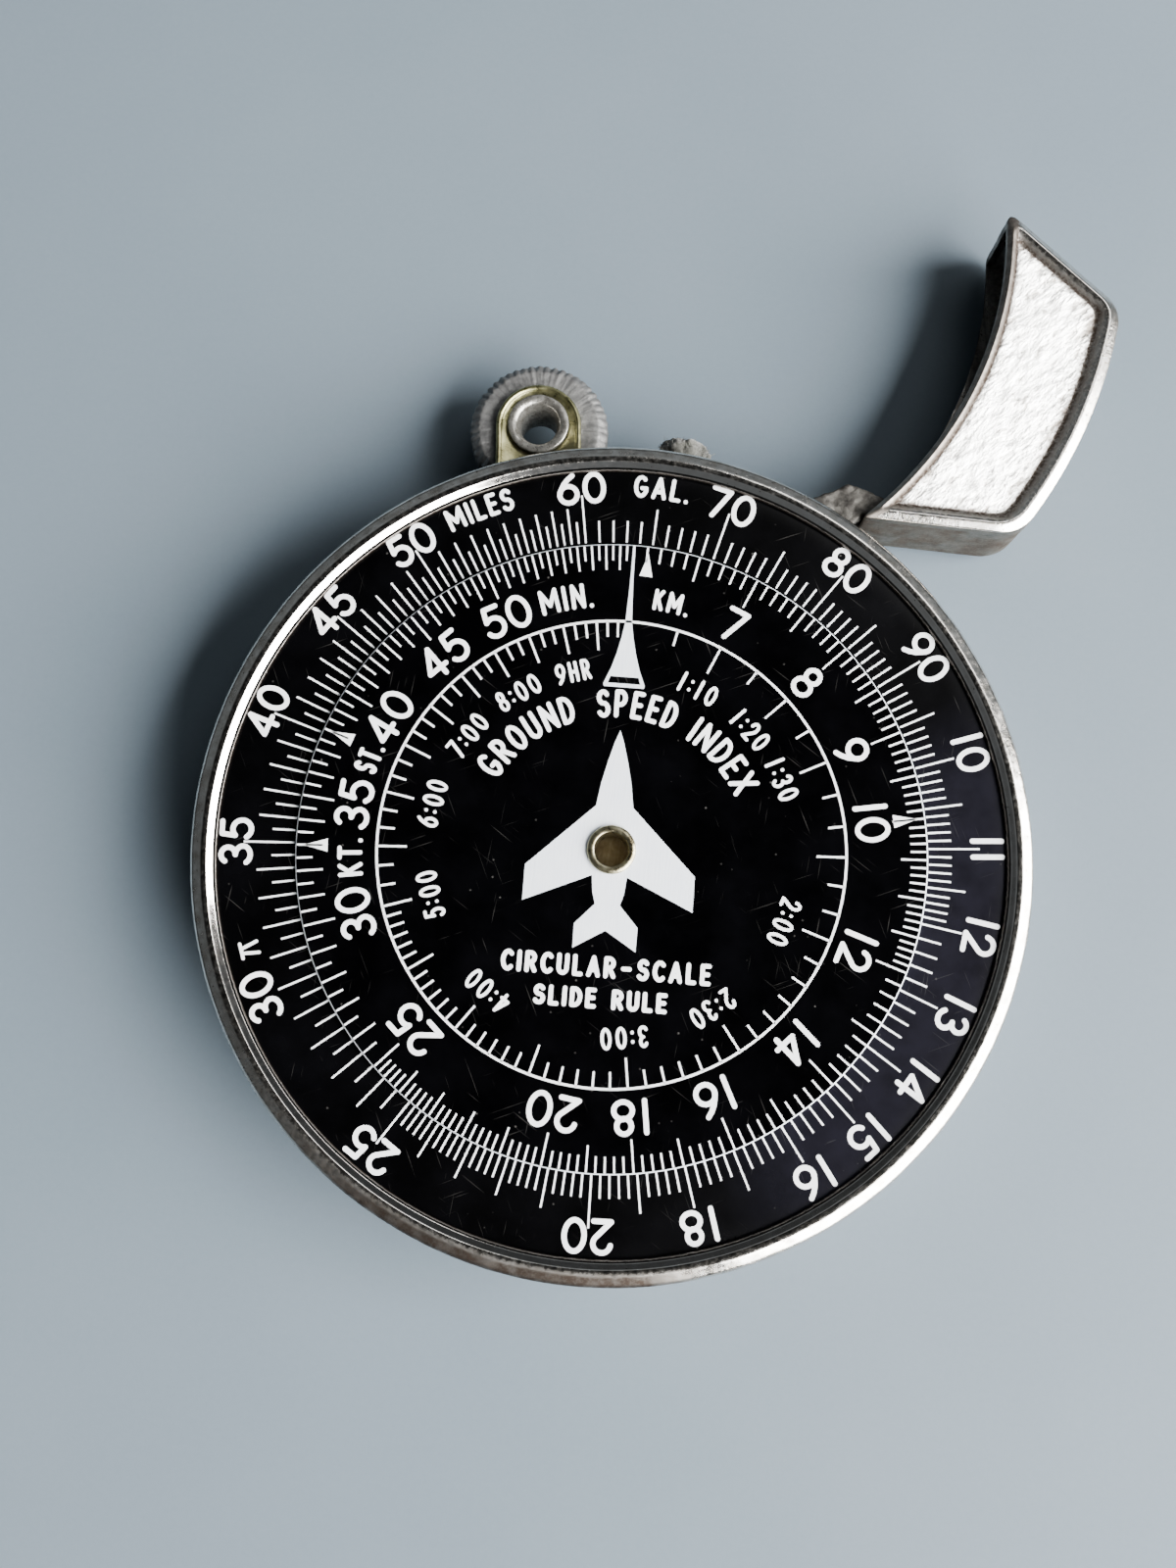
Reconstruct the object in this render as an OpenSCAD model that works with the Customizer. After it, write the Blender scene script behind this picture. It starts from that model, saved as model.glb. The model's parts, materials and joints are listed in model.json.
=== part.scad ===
// Round pocket petrol lighter whose front is a circular slide rule.
// It lies on its back: +Z is the dial's normal, +Y points to twelve o'clock,
// and the origin is the centre of the flat rear cover.
// The snuffer cap is drawn swung open.

/* [Case] */
// Outside diameter of the case
case_d = 50.8; // [48:0.1:54]
// Height of the side wall's top edge above the rear face
wall_top = 6.2; // [6:0.05:6.4]
// Thickness of the side wall
wall_t = 1.2; // [1:0.05:1.4]
// Rounding of the side wall's rear edge
edge_r = 1.0; // [0.4:0.1:1]
// Thickness of the rear cover
cover_t = 0.7; // [0.5:0.05:0.7]
// Radius of the rounded bead round the front
bead_r = 0.55; // [0.4:0.01:0.58]
// Opening of the front bezel, as a diameter
window_d = 47.6; // [46.8:0.1:47.8]

/* [Dial] */
// Diameter of the turning scale disc
disc_d = 38; // [36:0.1:40]
// Thickness of the turning scale disc
disc_t = 0.35; // [0.3:0.01:0.38]
// Thickness of the fixed scale plate
plate_t = 0.45; // [0.35:0.01:0.5]
// Outside diameter of the centre eyelet's flange
eyelet_d = 2.85; // [2.6:0.05:3.2]
// Bore of the centre eyelet
eyelet_bore = 2; // [1.6:0.05:2]

/* [Flint wheel] */
// Diameter of the flint wheel
wheel_d = 8.8; // [8:0.1:8.8]
// Width of the flint wheel
wheel_w = 2.4; // [2:0.05:2.4]
// Number of grooves round the flint wheel
groove_count = 48; // [30:1:60]
// Diameter of the hollow rivet's flange
rivet_d = 3.9; // [3.4:0.05:4.2]
// Bore of the hollow rivet
rivet_bore = 2.3; // [1.8:0.05:2.3]
// Width of the brass bracket's cheeks
cheek_w = 5.44; // [5:0.02:5.6]
// Thickness of one cheek
cheek_t = 0.4; // [0.3:0.02:0.4]

/* [Snuffer cap] */
// Radius of the cap's concave edge, about the case's axis when shut
cap_in_r = 25.75; // [25.7:0.05:25.9]
// Radius of the cap's convex edge, about the case's axis when shut
cap_out_r = 33.5; // [33.4:0.05:34]
// Slope of the cap's two ends
cap_slope = 18.7; // [18:0.1:19]
// Distance of each end's face from the case's axis
cap_end = 18.29; // [18.2:0.01:18.6]
// Height of the cap's hollow
cap_hollow = 4.4; // [4.2:0.05:4.4]
// Thickness of the cap's two faces
cap_face = 0.55; // [0.45:0.01:0.55]
// Thickness of the cap's edge walls
cap_wall = 0.5; // [0.4:0.01:0.5]
// Angle by which the cap stands open
cap_open = 115.5; // [0:0.5:115.5]

/* [Flint and fuel] */
// Bore of the flint tube
flint_bore = 2.5; // [2.4:0.05:2.6]
// Diameter of the flint
flint_d = 2.3; // [2.2:0.05:2.3]
// Number of coils in the flint spring
coil_count = 20; // [10:1:24]
// Diameter of the wick
wick_d = 3.2; // [2.8:0.1:3.2]
// Angle of the wick round the case
wick_angle = 79.4; // [78:0.1:81]
// Angle of the filler screw round the case
filler_angle = -65; // [-70:1:-55]

/* [Hidden] */
$fn = 96;
big = 60;
seat = 0.05;               // gap where one still piece drops into another
run = 0.05;                // running clearance of a shaft in its bore
mid_z = 3.25;              // mid-plane of everything inside the case
case_r = case_d / 2;
wall_in = case_r - wall_t;
hoop_z = 0.25;             // rear edge of the side wall, just above the rear face
slot_h = 4.2;              // height of the gap in the side wall at the top
slot_low = mid_z - slot_h / 2;
slot_high = mid_z + slot_h / 2;
deck_t = 0.6;
deck_top = slot_high + deck_t;
slot_from = 45.5;          // the gap in the side wall, from the right
slot_to = 112;
burner_in = 21.2;
burner_out = 21.9;
bead_z = wall_top + 0.25;
lip_top = wall_top + 0.4;
lip_w = 0.6;
plate_top = deck_top + plate_t;
disc_low = plate_top + seat;
disc_top = disc_low + disc_t;
eyelet_tube = eyelet_bore + 0.3;
eyelet_flange_t = 0.25;
washer_d = 4.5;
washer_t = 0.35;
washer_low = slot_high - washer_t;
wheel_x = -4.6;
wheel_y = 27.5;
wheel_gap = 0.1;
cheek_low = mid_z + wheel_w / 2 + wheel_gap;
rivet_flange = 0.3;
barrel_d = 2.8;
hinge_x = 13.05;
hinge_y = 20.7;
hinge_r = norm([hinge_x, hinge_y]);
hinge_angle = atan2(hinge_y, hinge_x);
pin_d = 1.2;
pin_low = cover_t + 0.05;
pin_high = deck_top - 0.15;
knuckle_r = 1.9;
arm_h = 3.6;
tube_d = flint_bore + 0.7;
tube_top = sqrt(pow(burner_out, 2) - pow(tube_d / 2 - wheel_x, 2));
tube_end = -24.3;
flint_top = wheel_y - wheel_d / 2 - 0.15;
flint_len = 4;
follower_top = flint_top - flint_len - 0.05;
follower_len = 15.6;
spring_top = follower_top - follower_len;
spring_low = -19.2;
spring_wire = 0.3;
spring_r = 0.95;
coil_pitch = (spring_top - spring_low - spring_wire) / (coil_count - 1);
screw_shank_top = -19.3;
spigot_len = 10;
head_t = 0.5;
slot_w = 0.6;
wick_tube_d = wick_d + 0.6;
wick_tip = 27.8;
wick_foot = 18.2;
bush_d = 4;
filler_shank = 2.9;
filler_seat = 24.1;
gasket_t = 0.35;
leaf_u = hinge_r - knuckle_r - 0.15;
leaf_t = 0.3;
post_t = 3.6;

// A ring of rectangular section.
module ring(r_in, r_out, z_low, z_high) {
  translate([0, 0, z_low])
    difference() {
      cylinder(r = r_out, h = z_high - z_low);
      translate([0, 0, -1]) cylinder(r = r_in, h = z_high - z_low + 2);
    }
}

// Part of a ring, between two angles less than 180 degrees apart.
module ring_sector(r_in, r_out, z_low, z_high, from, to) {
  intersection() {
    ring(r_in, r_out, z_low, z_high);
    translate([0, 0, z_low - 1])
      linear_extrude(z_high - z_low + 2)
        polygon([[0, 0], [big * cos(from), big * sin(from)],
          2 * big * [cos((from + to) / 2), sin((from + to) / 2)],
          [big * cos(to), big * sin(to)]]);
  }
}

// A round rod along +Y, from one y to another, at a given x.
module rod_y(d, from, to, x) {
  translate([x, from, mid_z]) rotate([-90, 0, 0]) cylinder(d = d, h = to - from);
}

// A round rod pointing out from the case's axis at an angle.
module rod_out(d, from, to, angle) {
  rotate([0, 0, angle])
    translate([from, 0, mid_z]) rotate([0, 90, 0]) cylinder(d = d, h = to - from);
}

// Turns its children from the shut cap's place to the open one.
module swung() {
  translate([hinge_x, hinge_y, 0])
    rotate([0, 0, -cap_open])
      translate([-hinge_x, -hinge_y, 0]) children();
}

module case_body() {
  color("silver")
    difference() {
      union() {
        difference() {
          ring(wall_in, case_r, hoop_z, wall_top);
          rotate_extrude()
            difference() {
              translate([case_r - edge_r, hoop_z - 1]) square([edge_r + 1, edge_r + 1]);
              translate([case_r - edge_r, hoop_z + edge_r]) circle(r = edge_r);
            }
          ring_sector(wall_in - 1, case_r + 1, slot_low, slot_high, slot_from, slot_to);
        }
        translate([0, 0, slot_high]) cylinder(r = wall_in + 0.1, h = deck_t);
        ring_sector(burner_in, wall_in + 0.1, cover_t + seat, slot_low, slot_from - 2, slot_to + 2);
        for (a = [slot_from - 2, slot_to])
          ring_sector(burner_in, wall_in + 0.1, slot_low, slot_high, a, a + 2);
      }
      translate([0, 0, slot_high - 1]) cylinder(d = eyelet_tube + 2 * seat, h = deck_t + 2);
      translate([hinge_x, hinge_y, pin_low]) cylinder(d = pin_d, h = pin_high - pin_low);
      rod_y(tube_d, -case_r - 1, -wall_in + 2, wheel_x);
      rod_out(bush_d, wall_in - 1, case_r + 1, filler_angle);
    }
}

module rear_cover() {
  color("gainsboro")
    union() {
      translate([0, 0, 0.2]) cylinder(r = wall_in - seat, h = cover_t - 0.2);
      cylinder(r1 = wall_in - seat - 0.2, r2 = wall_in - seat, h = 0.2);
    }
}

module front_bezel() {
  color("silver")
    rotate_extrude()
      union() {
        translate([wall_in, wall_top]) square([wall_t, bead_z - wall_top]);
        intersection() {
          translate([case_r - bead_r, bead_z]) circle(r = bead_r);
          translate([wall_in, wall_top]) square([wall_t, 1]);
        }
        translate([window_d / 2, plate_top]) square([lip_w, lip_top - plate_top]);
      }
}

module scale_plate() {
  color("black")
    translate([0, 0, deck_top])
      difference() {
        cylinder(r = wall_in - seat, h = plate_t);
        translate([0, 0, -1]) cylinder(d = eyelet_tube + 2 * seat, h = plate_t + 2);
      }
}

module inner_disc() {
  color("black")
    translate([0, 0, disc_low])
      difference() {
        cylinder(d = disc_d, h = disc_t);
        translate([0, 0, -1]) cylinder(d = eyelet_tube + 2 * run, h = disc_t + 2);
      }
}

module dial_eyelet() {
  color("goldenrod")
    difference() {
      union() {
        translate([0, 0, disc_top + run]) cylinder(d = eyelet_d, h = eyelet_flange_t);
        translate([0, 0, washer_low - eyelet_flange_t])
          cylinder(d = eyelet_tube, h = disc_top + run - washer_low + eyelet_flange_t);
        translate([0, 0, washer_low - eyelet_flange_t])
          cylinder(d = eyelet_d, h = eyelet_flange_t);
      }
      translate([0, 0, washer_low - 1]) cylinder(d = eyelet_bore, h = 4);
    }
}

module eyelet_washer() {
  color("gray")
    translate([0, 0, washer_low])
      difference() {
        cylinder(d = washer_d, h = washer_t);
        translate([0, 0, -1]) cylinder(d = eyelet_tube + 2 * seat, h = washer_t + 2);
      }
}

// A block beside the hinge: u is measured out from the case's axis
// through the hinge pin, t is measured across it.
module hinge_block(u_from, u_to, t_from, t_to, h) {
  rotate([0, 0, hinge_angle])
    translate([u_from, t_from, mid_z - h / 2]) cube([u_to - u_from, t_to - t_from, h]);
}

module burner_deck() {
  color("goldenrod")
    difference() {
      union() {
        ring_sector(burner_in, burner_out, slot_low, slot_high, slot_from, slot_to);
        for (t = [-post_t, post_t])
          hinge_block(burner_in + 0.1, leaf_u - leaf_t, t - 0.6, t + 0.6, slot_h);
      }
      rod_y(tube_d, 0, wheel_y, wheel_x);
      rod_out(wick_tube_d, 0, case_r, wick_angle);
      leaf_screw_axis(0.8, leaf_u - leaf_t - 1.1, leaf_u);
    }
}

// Cylinder on the leaf spring's screw axis.
module leaf_screw_axis(d, u_from, u_to) {
  rotate([0, 0, hinge_angle])
    translate([u_from, -post_t, mid_z]) rotate([0, 90, 0]) cylinder(d = d, h = u_to - u_from);
}

module cheek(z_low) {
  color("goldenrod")
    translate([0, 0, z_low])
      difference() {
        union() {
          translate([wheel_x, wheel_y, 0]) cylinder(d = cheek_w, h = cheek_t);
          translate([wheel_x - cheek_w / 2, burner_in - 1, 0])
            cube([cheek_w, wheel_y - burner_in + 1, cheek_t]);
        }
        translate([0, 0, -1]) cylinder(r = burner_out, h = cheek_t + 2);
        translate([wheel_x, wheel_y, -1]) cylinder(d = barrel_d, h = cheek_t + 2);
      }
}

module bracket_front() {
  cheek(cheek_low);
}

module bracket_rear() {
  cheek(2 * mid_z - cheek_low - cheek_t);
}

module flint_wheel() {
  groove_depth = 0.25;
  chamfer = 0.5;
  color("gray")
    translate([wheel_x, wheel_y, mid_z - wheel_w / 2])
      difference() {
        union() {
          cylinder(r1 = wheel_d / 2 - chamfer, r2 = wheel_d / 2, h = chamfer);
          translate([0, 0, chamfer]) cylinder(d = wheel_d, h = wheel_w - 2 * chamfer);
          translate([0, 0, wheel_w - chamfer])
            cylinder(r1 = wheel_d / 2, r2 = wheel_d / 2 - chamfer, h = chamfer);
        }
        translate([0, 0, -1]) cylinder(d = barrel_d + 2 * run, h = wheel_w + 2);
        for (i = [0 : groove_count - 1])
          rotate([0, 0, i * 360 / groove_count])
            translate([wheel_d / 2 - groove_depth, -0.1, -1]) cube([1, 0.2, wheel_w + 2]);
      }
}

module wheel_rivet() {
  flange_top = cheek_low + cheek_t;
  half_h = flange_top + rivet_flange - mid_z;
  flare = 0.7;
  color("darkgray")
    translate([wheel_x, wheel_y, mid_z])
      difference() {
        union() {
          translate([0, 0, -half_h]) cylinder(d = barrel_d, h = 2 * half_h);
          for (z = [-half_h, half_h - rivet_flange])
            translate([0, 0, z]) cylinder(d = rivet_d, h = rivet_flange);
        }
        translate([0, 0, -half_h - 1]) cylinder(d = rivet_bore, h = 2 * half_h + 2);
        for (side = [0, 1])
          mirror([0, 0, side])
            translate([0, 0, half_h - flare])
              cylinder(d1 = rivet_bore, d2 = rivet_bore + 0.7, h = flare);
      }
}

module flint_tube() {
  color("goldenrod")
    difference() {
      rod_y(tube_d, tube_end, tube_top, wheel_x);
      rod_y(flint_bore, tube_end - 1, tube_top + 1, wheel_x);
    }
}

module flint() {
  color("dimgray") rod_y(flint_d, flint_top - flint_len, flint_top, wheel_x);
}

module flint_follower() {
  color("goldenrod") rod_y(flint_d, spring_top, follower_top, wheel_x);
}

// Closed coils stand for the spring's helix, with a short link between each pair.
module flint_spring() {
  color("lightgray")
    union() {
      for (i = [0 : coil_count - 1])
        translate([wheel_x, spring_low + spring_wire / 2 + i * coil_pitch, mid_z])
          rotate([90, 0, 0])
            rotate_extrude() translate([spring_r, 0]) circle(d = spring_wire, $fn = 16);
      for (i = [0 : coil_count - 2])
        translate([0, 0, i % 2 == 0 ? spring_r : -spring_r])
          rod_y(spring_wire * 0.9, spring_low + spring_wire / 2 + i * coil_pitch,
            spring_low + spring_wire / 2 + (i + 1) * coil_pitch, wheel_x);
    }
}

module flint_screw() {
  color("gainsboro")
    difference() {
      union() {
        rod_y(tube_d - 0.2, tube_end - seat - head_t, tube_end - seat, wheel_x);
        rod_y(flint_bore - 2 * run, tube_end - seat, screw_shank_top, wheel_x);
        rod_y(1.2, screw_shank_top, screw_shank_top + spigot_len, wheel_x);
      }
      translate([wheel_x - 2, tube_end - head_t - 0.3, mid_z - slot_w / 2]) cube([4, 0.5, slot_w]);
    }
}

module wick_tube() {
  color("goldenrod")
    difference() {
      rod_out(wick_tube_d, burner_in - 0.6, 24.6, wick_angle);
      rod_out(wick_d, 0, case_r + 1, wick_angle);
    }
}

module wick() {
  color("darkkhaki") rod_out(wick_d, wick_foot, wick_tip, wick_angle);
}

module wadding() {
  pad_low = cover_t + 0.15;
  pad_high = washer_low - 0.4;
  color("ivory")
    difference() {
      translate([0, 0, pad_low]) cylinder(r = burner_in - 0.7, h = pad_high - pad_low);
      translate([wheel_x - tube_d / 2 - 0.1, -big / 2, 0]) cube([tube_d + 0.2, big, 10]);
      rod_out(wick_d + 1.2, wick_foot - 0.1, big / 2, wick_angle);
      rod_out(bush_d + 0.4, 19, big / 2, filler_angle);
    }
}

module filler_bush() {
  color("goldenrod")
    difference() {
      rod_out(bush_d, 19.4, filler_seat, filler_angle);
      rod_out(filler_shank + 2 * run, 19, filler_seat + 1, filler_angle);
    }
}

module filler_screw() {
  head_from = filler_seat + gasket_t;
  color("gainsboro")
    difference() {
      union() {
        rod_out(bush_d - 0.2, head_from, head_from + head_t, filler_angle);
        rod_out(filler_shank, 20.2, head_from, filler_angle);
      }
      rotate([0, 0, filler_angle])
        translate([head_from + head_t - 0.25, -3, mid_z - slot_w / 2]) cube([1, 6, slot_w]);
    }
}

module filler_gasket() {
  color("black")
    difference() {
      rod_out(bush_d - 0.2, filler_seat, filler_seat + gasket_t, filler_angle);
      rod_out(filler_shank, filler_seat - 1, filler_seat + 1, filler_angle);
    }
}

// The shut cap's outline, drawn in from its edges by three margins.
module cap_outline(in_margin, out_margin, end_margin) {
  intersection() {
    difference() {
      circle(r = cap_out_r - out_margin, $fn = 180);
      circle(r = cap_in_r + in_margin, $fn = 180);
    }
    for_both_ends(cap_end - end_margin);
  }
}

// The wedge between the cap's two sloping ends.
module for_both_ends(reach) {
  intersection_for(side = [0, 1])
    mirror([side, 0, 0])
      rotate([0, 0, cap_slope]) translate([reach - big, 0]) square([big, big]);
}

module cap_shell() {
  low = mid_z - cap_hollow / 2 - cap_face;
  high = mid_z + cap_hollow / 2 + cap_face;
  panel_depth = 0.3;
  return_to = 113.6;
  color("silver")
    swung()
      difference() {
        translate([0, 0, low]) linear_extrude(high - low) cap_outline(0, 0, 0);
        difference() {
          translate([0, 0, low + cap_face])
            linear_extrude(cap_hollow) cap_outline(-2, cap_wall, cap_wall);
          ring_sector(cap_in_r - 3, cap_in_r + cap_wall, low, high, return_to, return_to + 8);
        }
        translate([0, 0, high - panel_depth])
          linear_extrude(panel_depth + 1) cap_outline(0.75, 1.6, 1.05);
      }
}

// Arm from the hinge pin into the cap, with full height inside the cap.
module cap_arm() {
  color("gray")
    swung()
      difference() {
        union() {
          translate([hinge_x, hinge_y, mid_z - arm_h / 2]) cylinder(r = knuckle_r, h = arm_h);
          translate([0, 0, mid_z - arm_h / 2])
            linear_extrude(arm_h)
              polygon([[12.1, 19.1], [9.7, 21.3], [9.5, 22], [9.5, 24.8], [10.3, 24.8],
                [10.75, 23.5], [11.4, 22.8], [14.2, 22.1]]);
          translate([0, 0, mid_z - cap_hollow / 2])
            linear_extrude(cap_hollow)
              polygon([[8.6, 24.9], [8.6, 27.4], [9.4, 27.4], [10.28, 24.8], [10.5, 24]]);
        }
        translate([hinge_x, hinge_y, 0]) cylinder(d = pin_d + 0.06, h = 10);
      }
}

module hinge_pin() {
  color("lightgray")
    translate([hinge_x, hinge_y, pin_low]) cylinder(d = pin_d, h = pin_high - pin_low);
}

module cap_spring() {
  color("lightgray")
    difference() {
      hinge_block(leaf_u - leaf_t, leaf_u, -post_t - 0.8, post_t + 0.6, 3.2);
      leaf_screw_axis(0.8, leaf_u - 1, leaf_u + 1);
    }
}

module spring_screw() {
  color("gainsboro")
    union() {
      leaf_screw_axis(0.8, leaf_u - leaf_t - 1, leaf_u);
      leaf_screw_axis(1.7, leaf_u, leaf_u + 0.4);
    }
}

case_body();
rear_cover();
front_bezel();
scale_plate();
inner_disc();
dial_eyelet();
eyelet_washer();
burner_deck();
bracket_front();
bracket_rear();
flint_wheel();
wheel_rivet();
flint_tube();
flint();
flint_follower();
flint_spring();
flint_screw();
wick_tube();
wick();
wadding();
filler_bush();
filler_screw();
filler_gasket();
cap_shell();
cap_arm();
hinge_pin();
cap_spring();
spring_screw();
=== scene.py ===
"""Round pocket petrol lighter with a circular slide rule on its front: its looks, over the CAD frame."""

import json
import random
from math import acos, atan2, ceil, cos, degrees, exp, log10, pi, radians, sin, sqrt, tan

import bmesh
import bpy
from mathutils import Matrix, Vector, noise
from mathutils.geometry import delaunay_2d_cdt


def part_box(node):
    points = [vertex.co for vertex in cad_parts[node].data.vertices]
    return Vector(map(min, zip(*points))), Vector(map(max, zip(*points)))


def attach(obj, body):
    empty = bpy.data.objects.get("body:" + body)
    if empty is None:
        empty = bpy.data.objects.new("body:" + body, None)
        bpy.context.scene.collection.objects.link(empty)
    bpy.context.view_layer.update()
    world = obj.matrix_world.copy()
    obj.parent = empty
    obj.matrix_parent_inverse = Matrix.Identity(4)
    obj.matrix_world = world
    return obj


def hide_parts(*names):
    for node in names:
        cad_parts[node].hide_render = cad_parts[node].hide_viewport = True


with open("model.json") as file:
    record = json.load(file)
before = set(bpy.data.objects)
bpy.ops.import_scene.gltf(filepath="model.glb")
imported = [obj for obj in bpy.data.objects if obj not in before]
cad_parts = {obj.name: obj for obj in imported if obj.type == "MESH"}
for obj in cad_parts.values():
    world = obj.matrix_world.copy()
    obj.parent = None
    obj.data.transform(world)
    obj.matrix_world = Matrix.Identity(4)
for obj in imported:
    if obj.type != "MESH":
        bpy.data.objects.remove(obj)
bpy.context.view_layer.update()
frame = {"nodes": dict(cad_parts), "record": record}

MM = 0.001


def top_of(node):
    """Height of a CAD node's top, in mm."""
    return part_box(node)[1].z / MM


def bottom_of(node):
    """Height of a CAD node's underside, in mm."""
    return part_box(node)[0].z / MM


def middle_of(node):
    """Centre of a CAD node's box, in mm."""
    low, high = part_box(node)
    return (low + high) / 2 / MM


def half_width_of(node):
    """Half of a CAD node's size along X, in mm."""
    low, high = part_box(node)
    return (high.x - low.x) / 2 / MM


CASE_R = half_width_of("front_bezel")
WALL_T = 1.2
WALL_IN = CASE_R - WALL_T
WALL_LOW = bottom_of("case_body")
WALL_TOP = top_of("case_body")
DECK_TOP = bottom_of("scale_plate")
DECK_LOW = DECK_TOP - 0.6
PLATE_TOP = top_of("scale_plate")
PLATE_R = half_width_of("scale_plate")
DISC_LOW = bottom_of("inner_disc")
DISC_TOP = top_of("inner_disc")
DISC_R = half_width_of("inner_disc")
BEZEL_TOP = top_of("front_bezel")
WHEEL = middle_of("flint_wheel")
WHEEL_R = half_width_of("flint_wheel")
MID_Z = WHEEL.z
HINGE = middle_of("hinge_pin")
CAP_OPEN = radians(frame["record"]["behaviour"]["joints"][2]["range_deg"][1])
SLOT_LOW = MID_Z - 2.1
SLOT_FROM = radians(45.5)
SLOT_TO = radians(112)


# ---- mesh tools


def linked(name, data):
    """A new object in the scene."""
    obj = bpy.data.objects.new(name, data)
    bpy.context.scene.collection.objects.link(obj)
    return obj


def dress(obj, material):
    """Gives an object one material in place of all it has."""
    obj.data.materials.clear()
    obj.data.materials.append(material)


def solid(name, points, faces, materials, indices=None, sharp=32):
    """Mesh object from points in mm. Faces are turned outwards and doubled points are merged. Edges sharper than
    an angle in degrees stay hard."""
    mesh = bpy.data.meshes.new(name)
    mesh.from_pydata([Vector(p) * MM for p in points], [], faces)
    if indices:
        mesh.polygons.foreach_set("material_index", indices)
    work = bmesh.new()
    work.from_mesh(mesh)
    bmesh.ops.remove_doubles(work, verts=work.verts, dist=1e-7)
    bmesh.ops.recalc_face_normals(work, faces=work.faces)
    work.to_mesh(mesh)
    work.free()
    smooth(mesh, sharp)
    for material in materials:
        mesh.materials.append(material)
    return linked(name, mesh)


def smooth(mesh, sharp=32):
    """Smooth shading with hard edges where two faces meet at more than the given angle."""
    mesh.shade_smooth()
    mesh.set_sharp_from_angle(angle=radians(sharp))


def polar(r, a):
    """Flat point at a radius and an angle."""
    return r * cos(a), r * sin(a)


def held(value, low=0.0, high=1.0):
    """A number held between two others."""
    return max(low, min(high, value))

def curve(start, corner, end, steps):
    """Points of a smooth curve from start to end, drawn towards a corner."""
    made = []
    for k in range(steps + 1):
        t = k / steps
        made.append(start * (1 - t) ** 2 + corner * 2 * t * (1 - t) + end * t * t)
    return made


def rounded(outline, radius, steps=4):
    """Closed outline with its corners turned into small curves. A corner may give its own radius third."""
    made = []
    count = len(outline)
    for i, corner in enumerate(outline):
        r = corner[2] if len(corner) > 2 else radius
        here = Vector(corner[:2])
        before = Vector(outline[i - 1][:2]) - here
        after = Vector(outline[(i + 1) % count][:2]) - here
        reach = min(r, before.length * 0.45, after.length * 0.45)
        if reach < 1e-4:
            made.append(here)
            continue
        made += curve(here + before.normalized() * reach, here, here + after.normalized() * reach, steps)
    return made


def divided(outline, longest):
    """Closed outline with points added, so that no side is longer than the given length."""
    made = []
    for i, here in enumerate(outline):
        ahead = outline[(i + 1) % len(outline)]
        pieces = max(1, ceil((ahead - here).length / longest))
        made += [here.lerp(ahead, k / pieces) for k in range(pieces)]
    return made


def lathe(name, outline, materials, segments=240, wobble=None, place=None, pick=None, sharp=32):
    """Solid of revolution about +Z from a closed (radius, height) outline in mm. wobble moves each point,
    place is a matrix in mm and pick chooses a face's material from its (radius, height)."""
    points, faces, indices = [], [], []
    count = len(outline)
    for i in range(segments):
        a = 2 * pi * i / segments
        for r, z in outline:
            if wobble:
                r, z = wobble(r, z, a)
            points.append(Vector((*polar(r, a), z)))
    for i in range(segments):
        ahead = (i + 1) % segments
        for j in range(count):
            k = (j + 1) % count
            ring = [i * count + j, ahead * count + j, ahead * count + k, i * count + k]
            if outline[j][0] < 1e-6 and outline[k][0] < 1e-6:
                continue
            faces.append(ring)
            middle = (Vector(outline[j][:2]) + Vector(outline[k][:2])) / 2
            indices.append(pick(*middle) if pick else 0)
    if place:
        points = [place @ p for p in points]
    return solid(name, points, faces, materials, indices, sharp)


def skin(loops, ring=False):
    """Points and faces through closed loops of points, capped at both ends, or joined as a ring."""
    count = len(loops[0])
    points = [p for loop in loops for p in loop]
    faces = []
    for n in range(len(loops) if ring else len(loops) - 1):
        low, high = n * count, (n + 1) % len(loops) * count
        faces += [[low + i, low + (i + 1) % count, high + (i + 1) % count, high + i] for i in range(count)]
    if not ring:
        faces += [list(range(count)), list(range(len(points) - count, len(points)))]
    return points, faces


def loft(name, loops, materials, ring=False, sharp=32):
    """Solid through closed loops of points in mm."""
    return solid(name, *skin(loops, ring), materials, None, sharp)


def at_height(outline, z):
    """The points of a flat outline, at a height."""
    return [Vector((p[0], p[1], z)) for p in outline]


def fill(outline, pitch, height):
    """Triangles inside a closed outline, with inner points a pitch apart and heights from a function."""
    xs = [p[0] for p in outline]
    ys = [p[1] for p in outline]
    inner = []
    for j in range(int((max(ys) - min(ys)) / pitch)):
        for i in range(int((max(xs) - min(xs)) / pitch)):
            p = Vector((min(xs) + pitch * (i + 0.5 + 0.5 * (j % 2)), min(ys) + pitch * (j + 0.5)))
            if inside(p, outline) and all((Vector(q[:2]) - p).length > 0.6 * pitch for q in outline):
                inner.append(p)
    border = [Vector(p[:2]) for p in outline]
    ring = list(range(len(border)))
    found = delaunay_2d_cdt(border + inner, [], [ring], 1, 1e-6)
    return [Vector((v.x, v.y, height(v.x, v.y))) for v in found[0]], [list(f) for f in found[2]]


def inside(p, outline):
    """Whether a point lies inside a closed outline."""
    crossings = False
    for i, a in enumerate(outline):
        b = outline[i - 1]
        if (a[1] > p[1]) != (b[1] > p[1]):
            if p[0] < (b[0] - a[0]) * (p[1] - a[1]) / (b[1] - a[1]) + a[0]:
                crossings = not crossings
    return crossings


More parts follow.
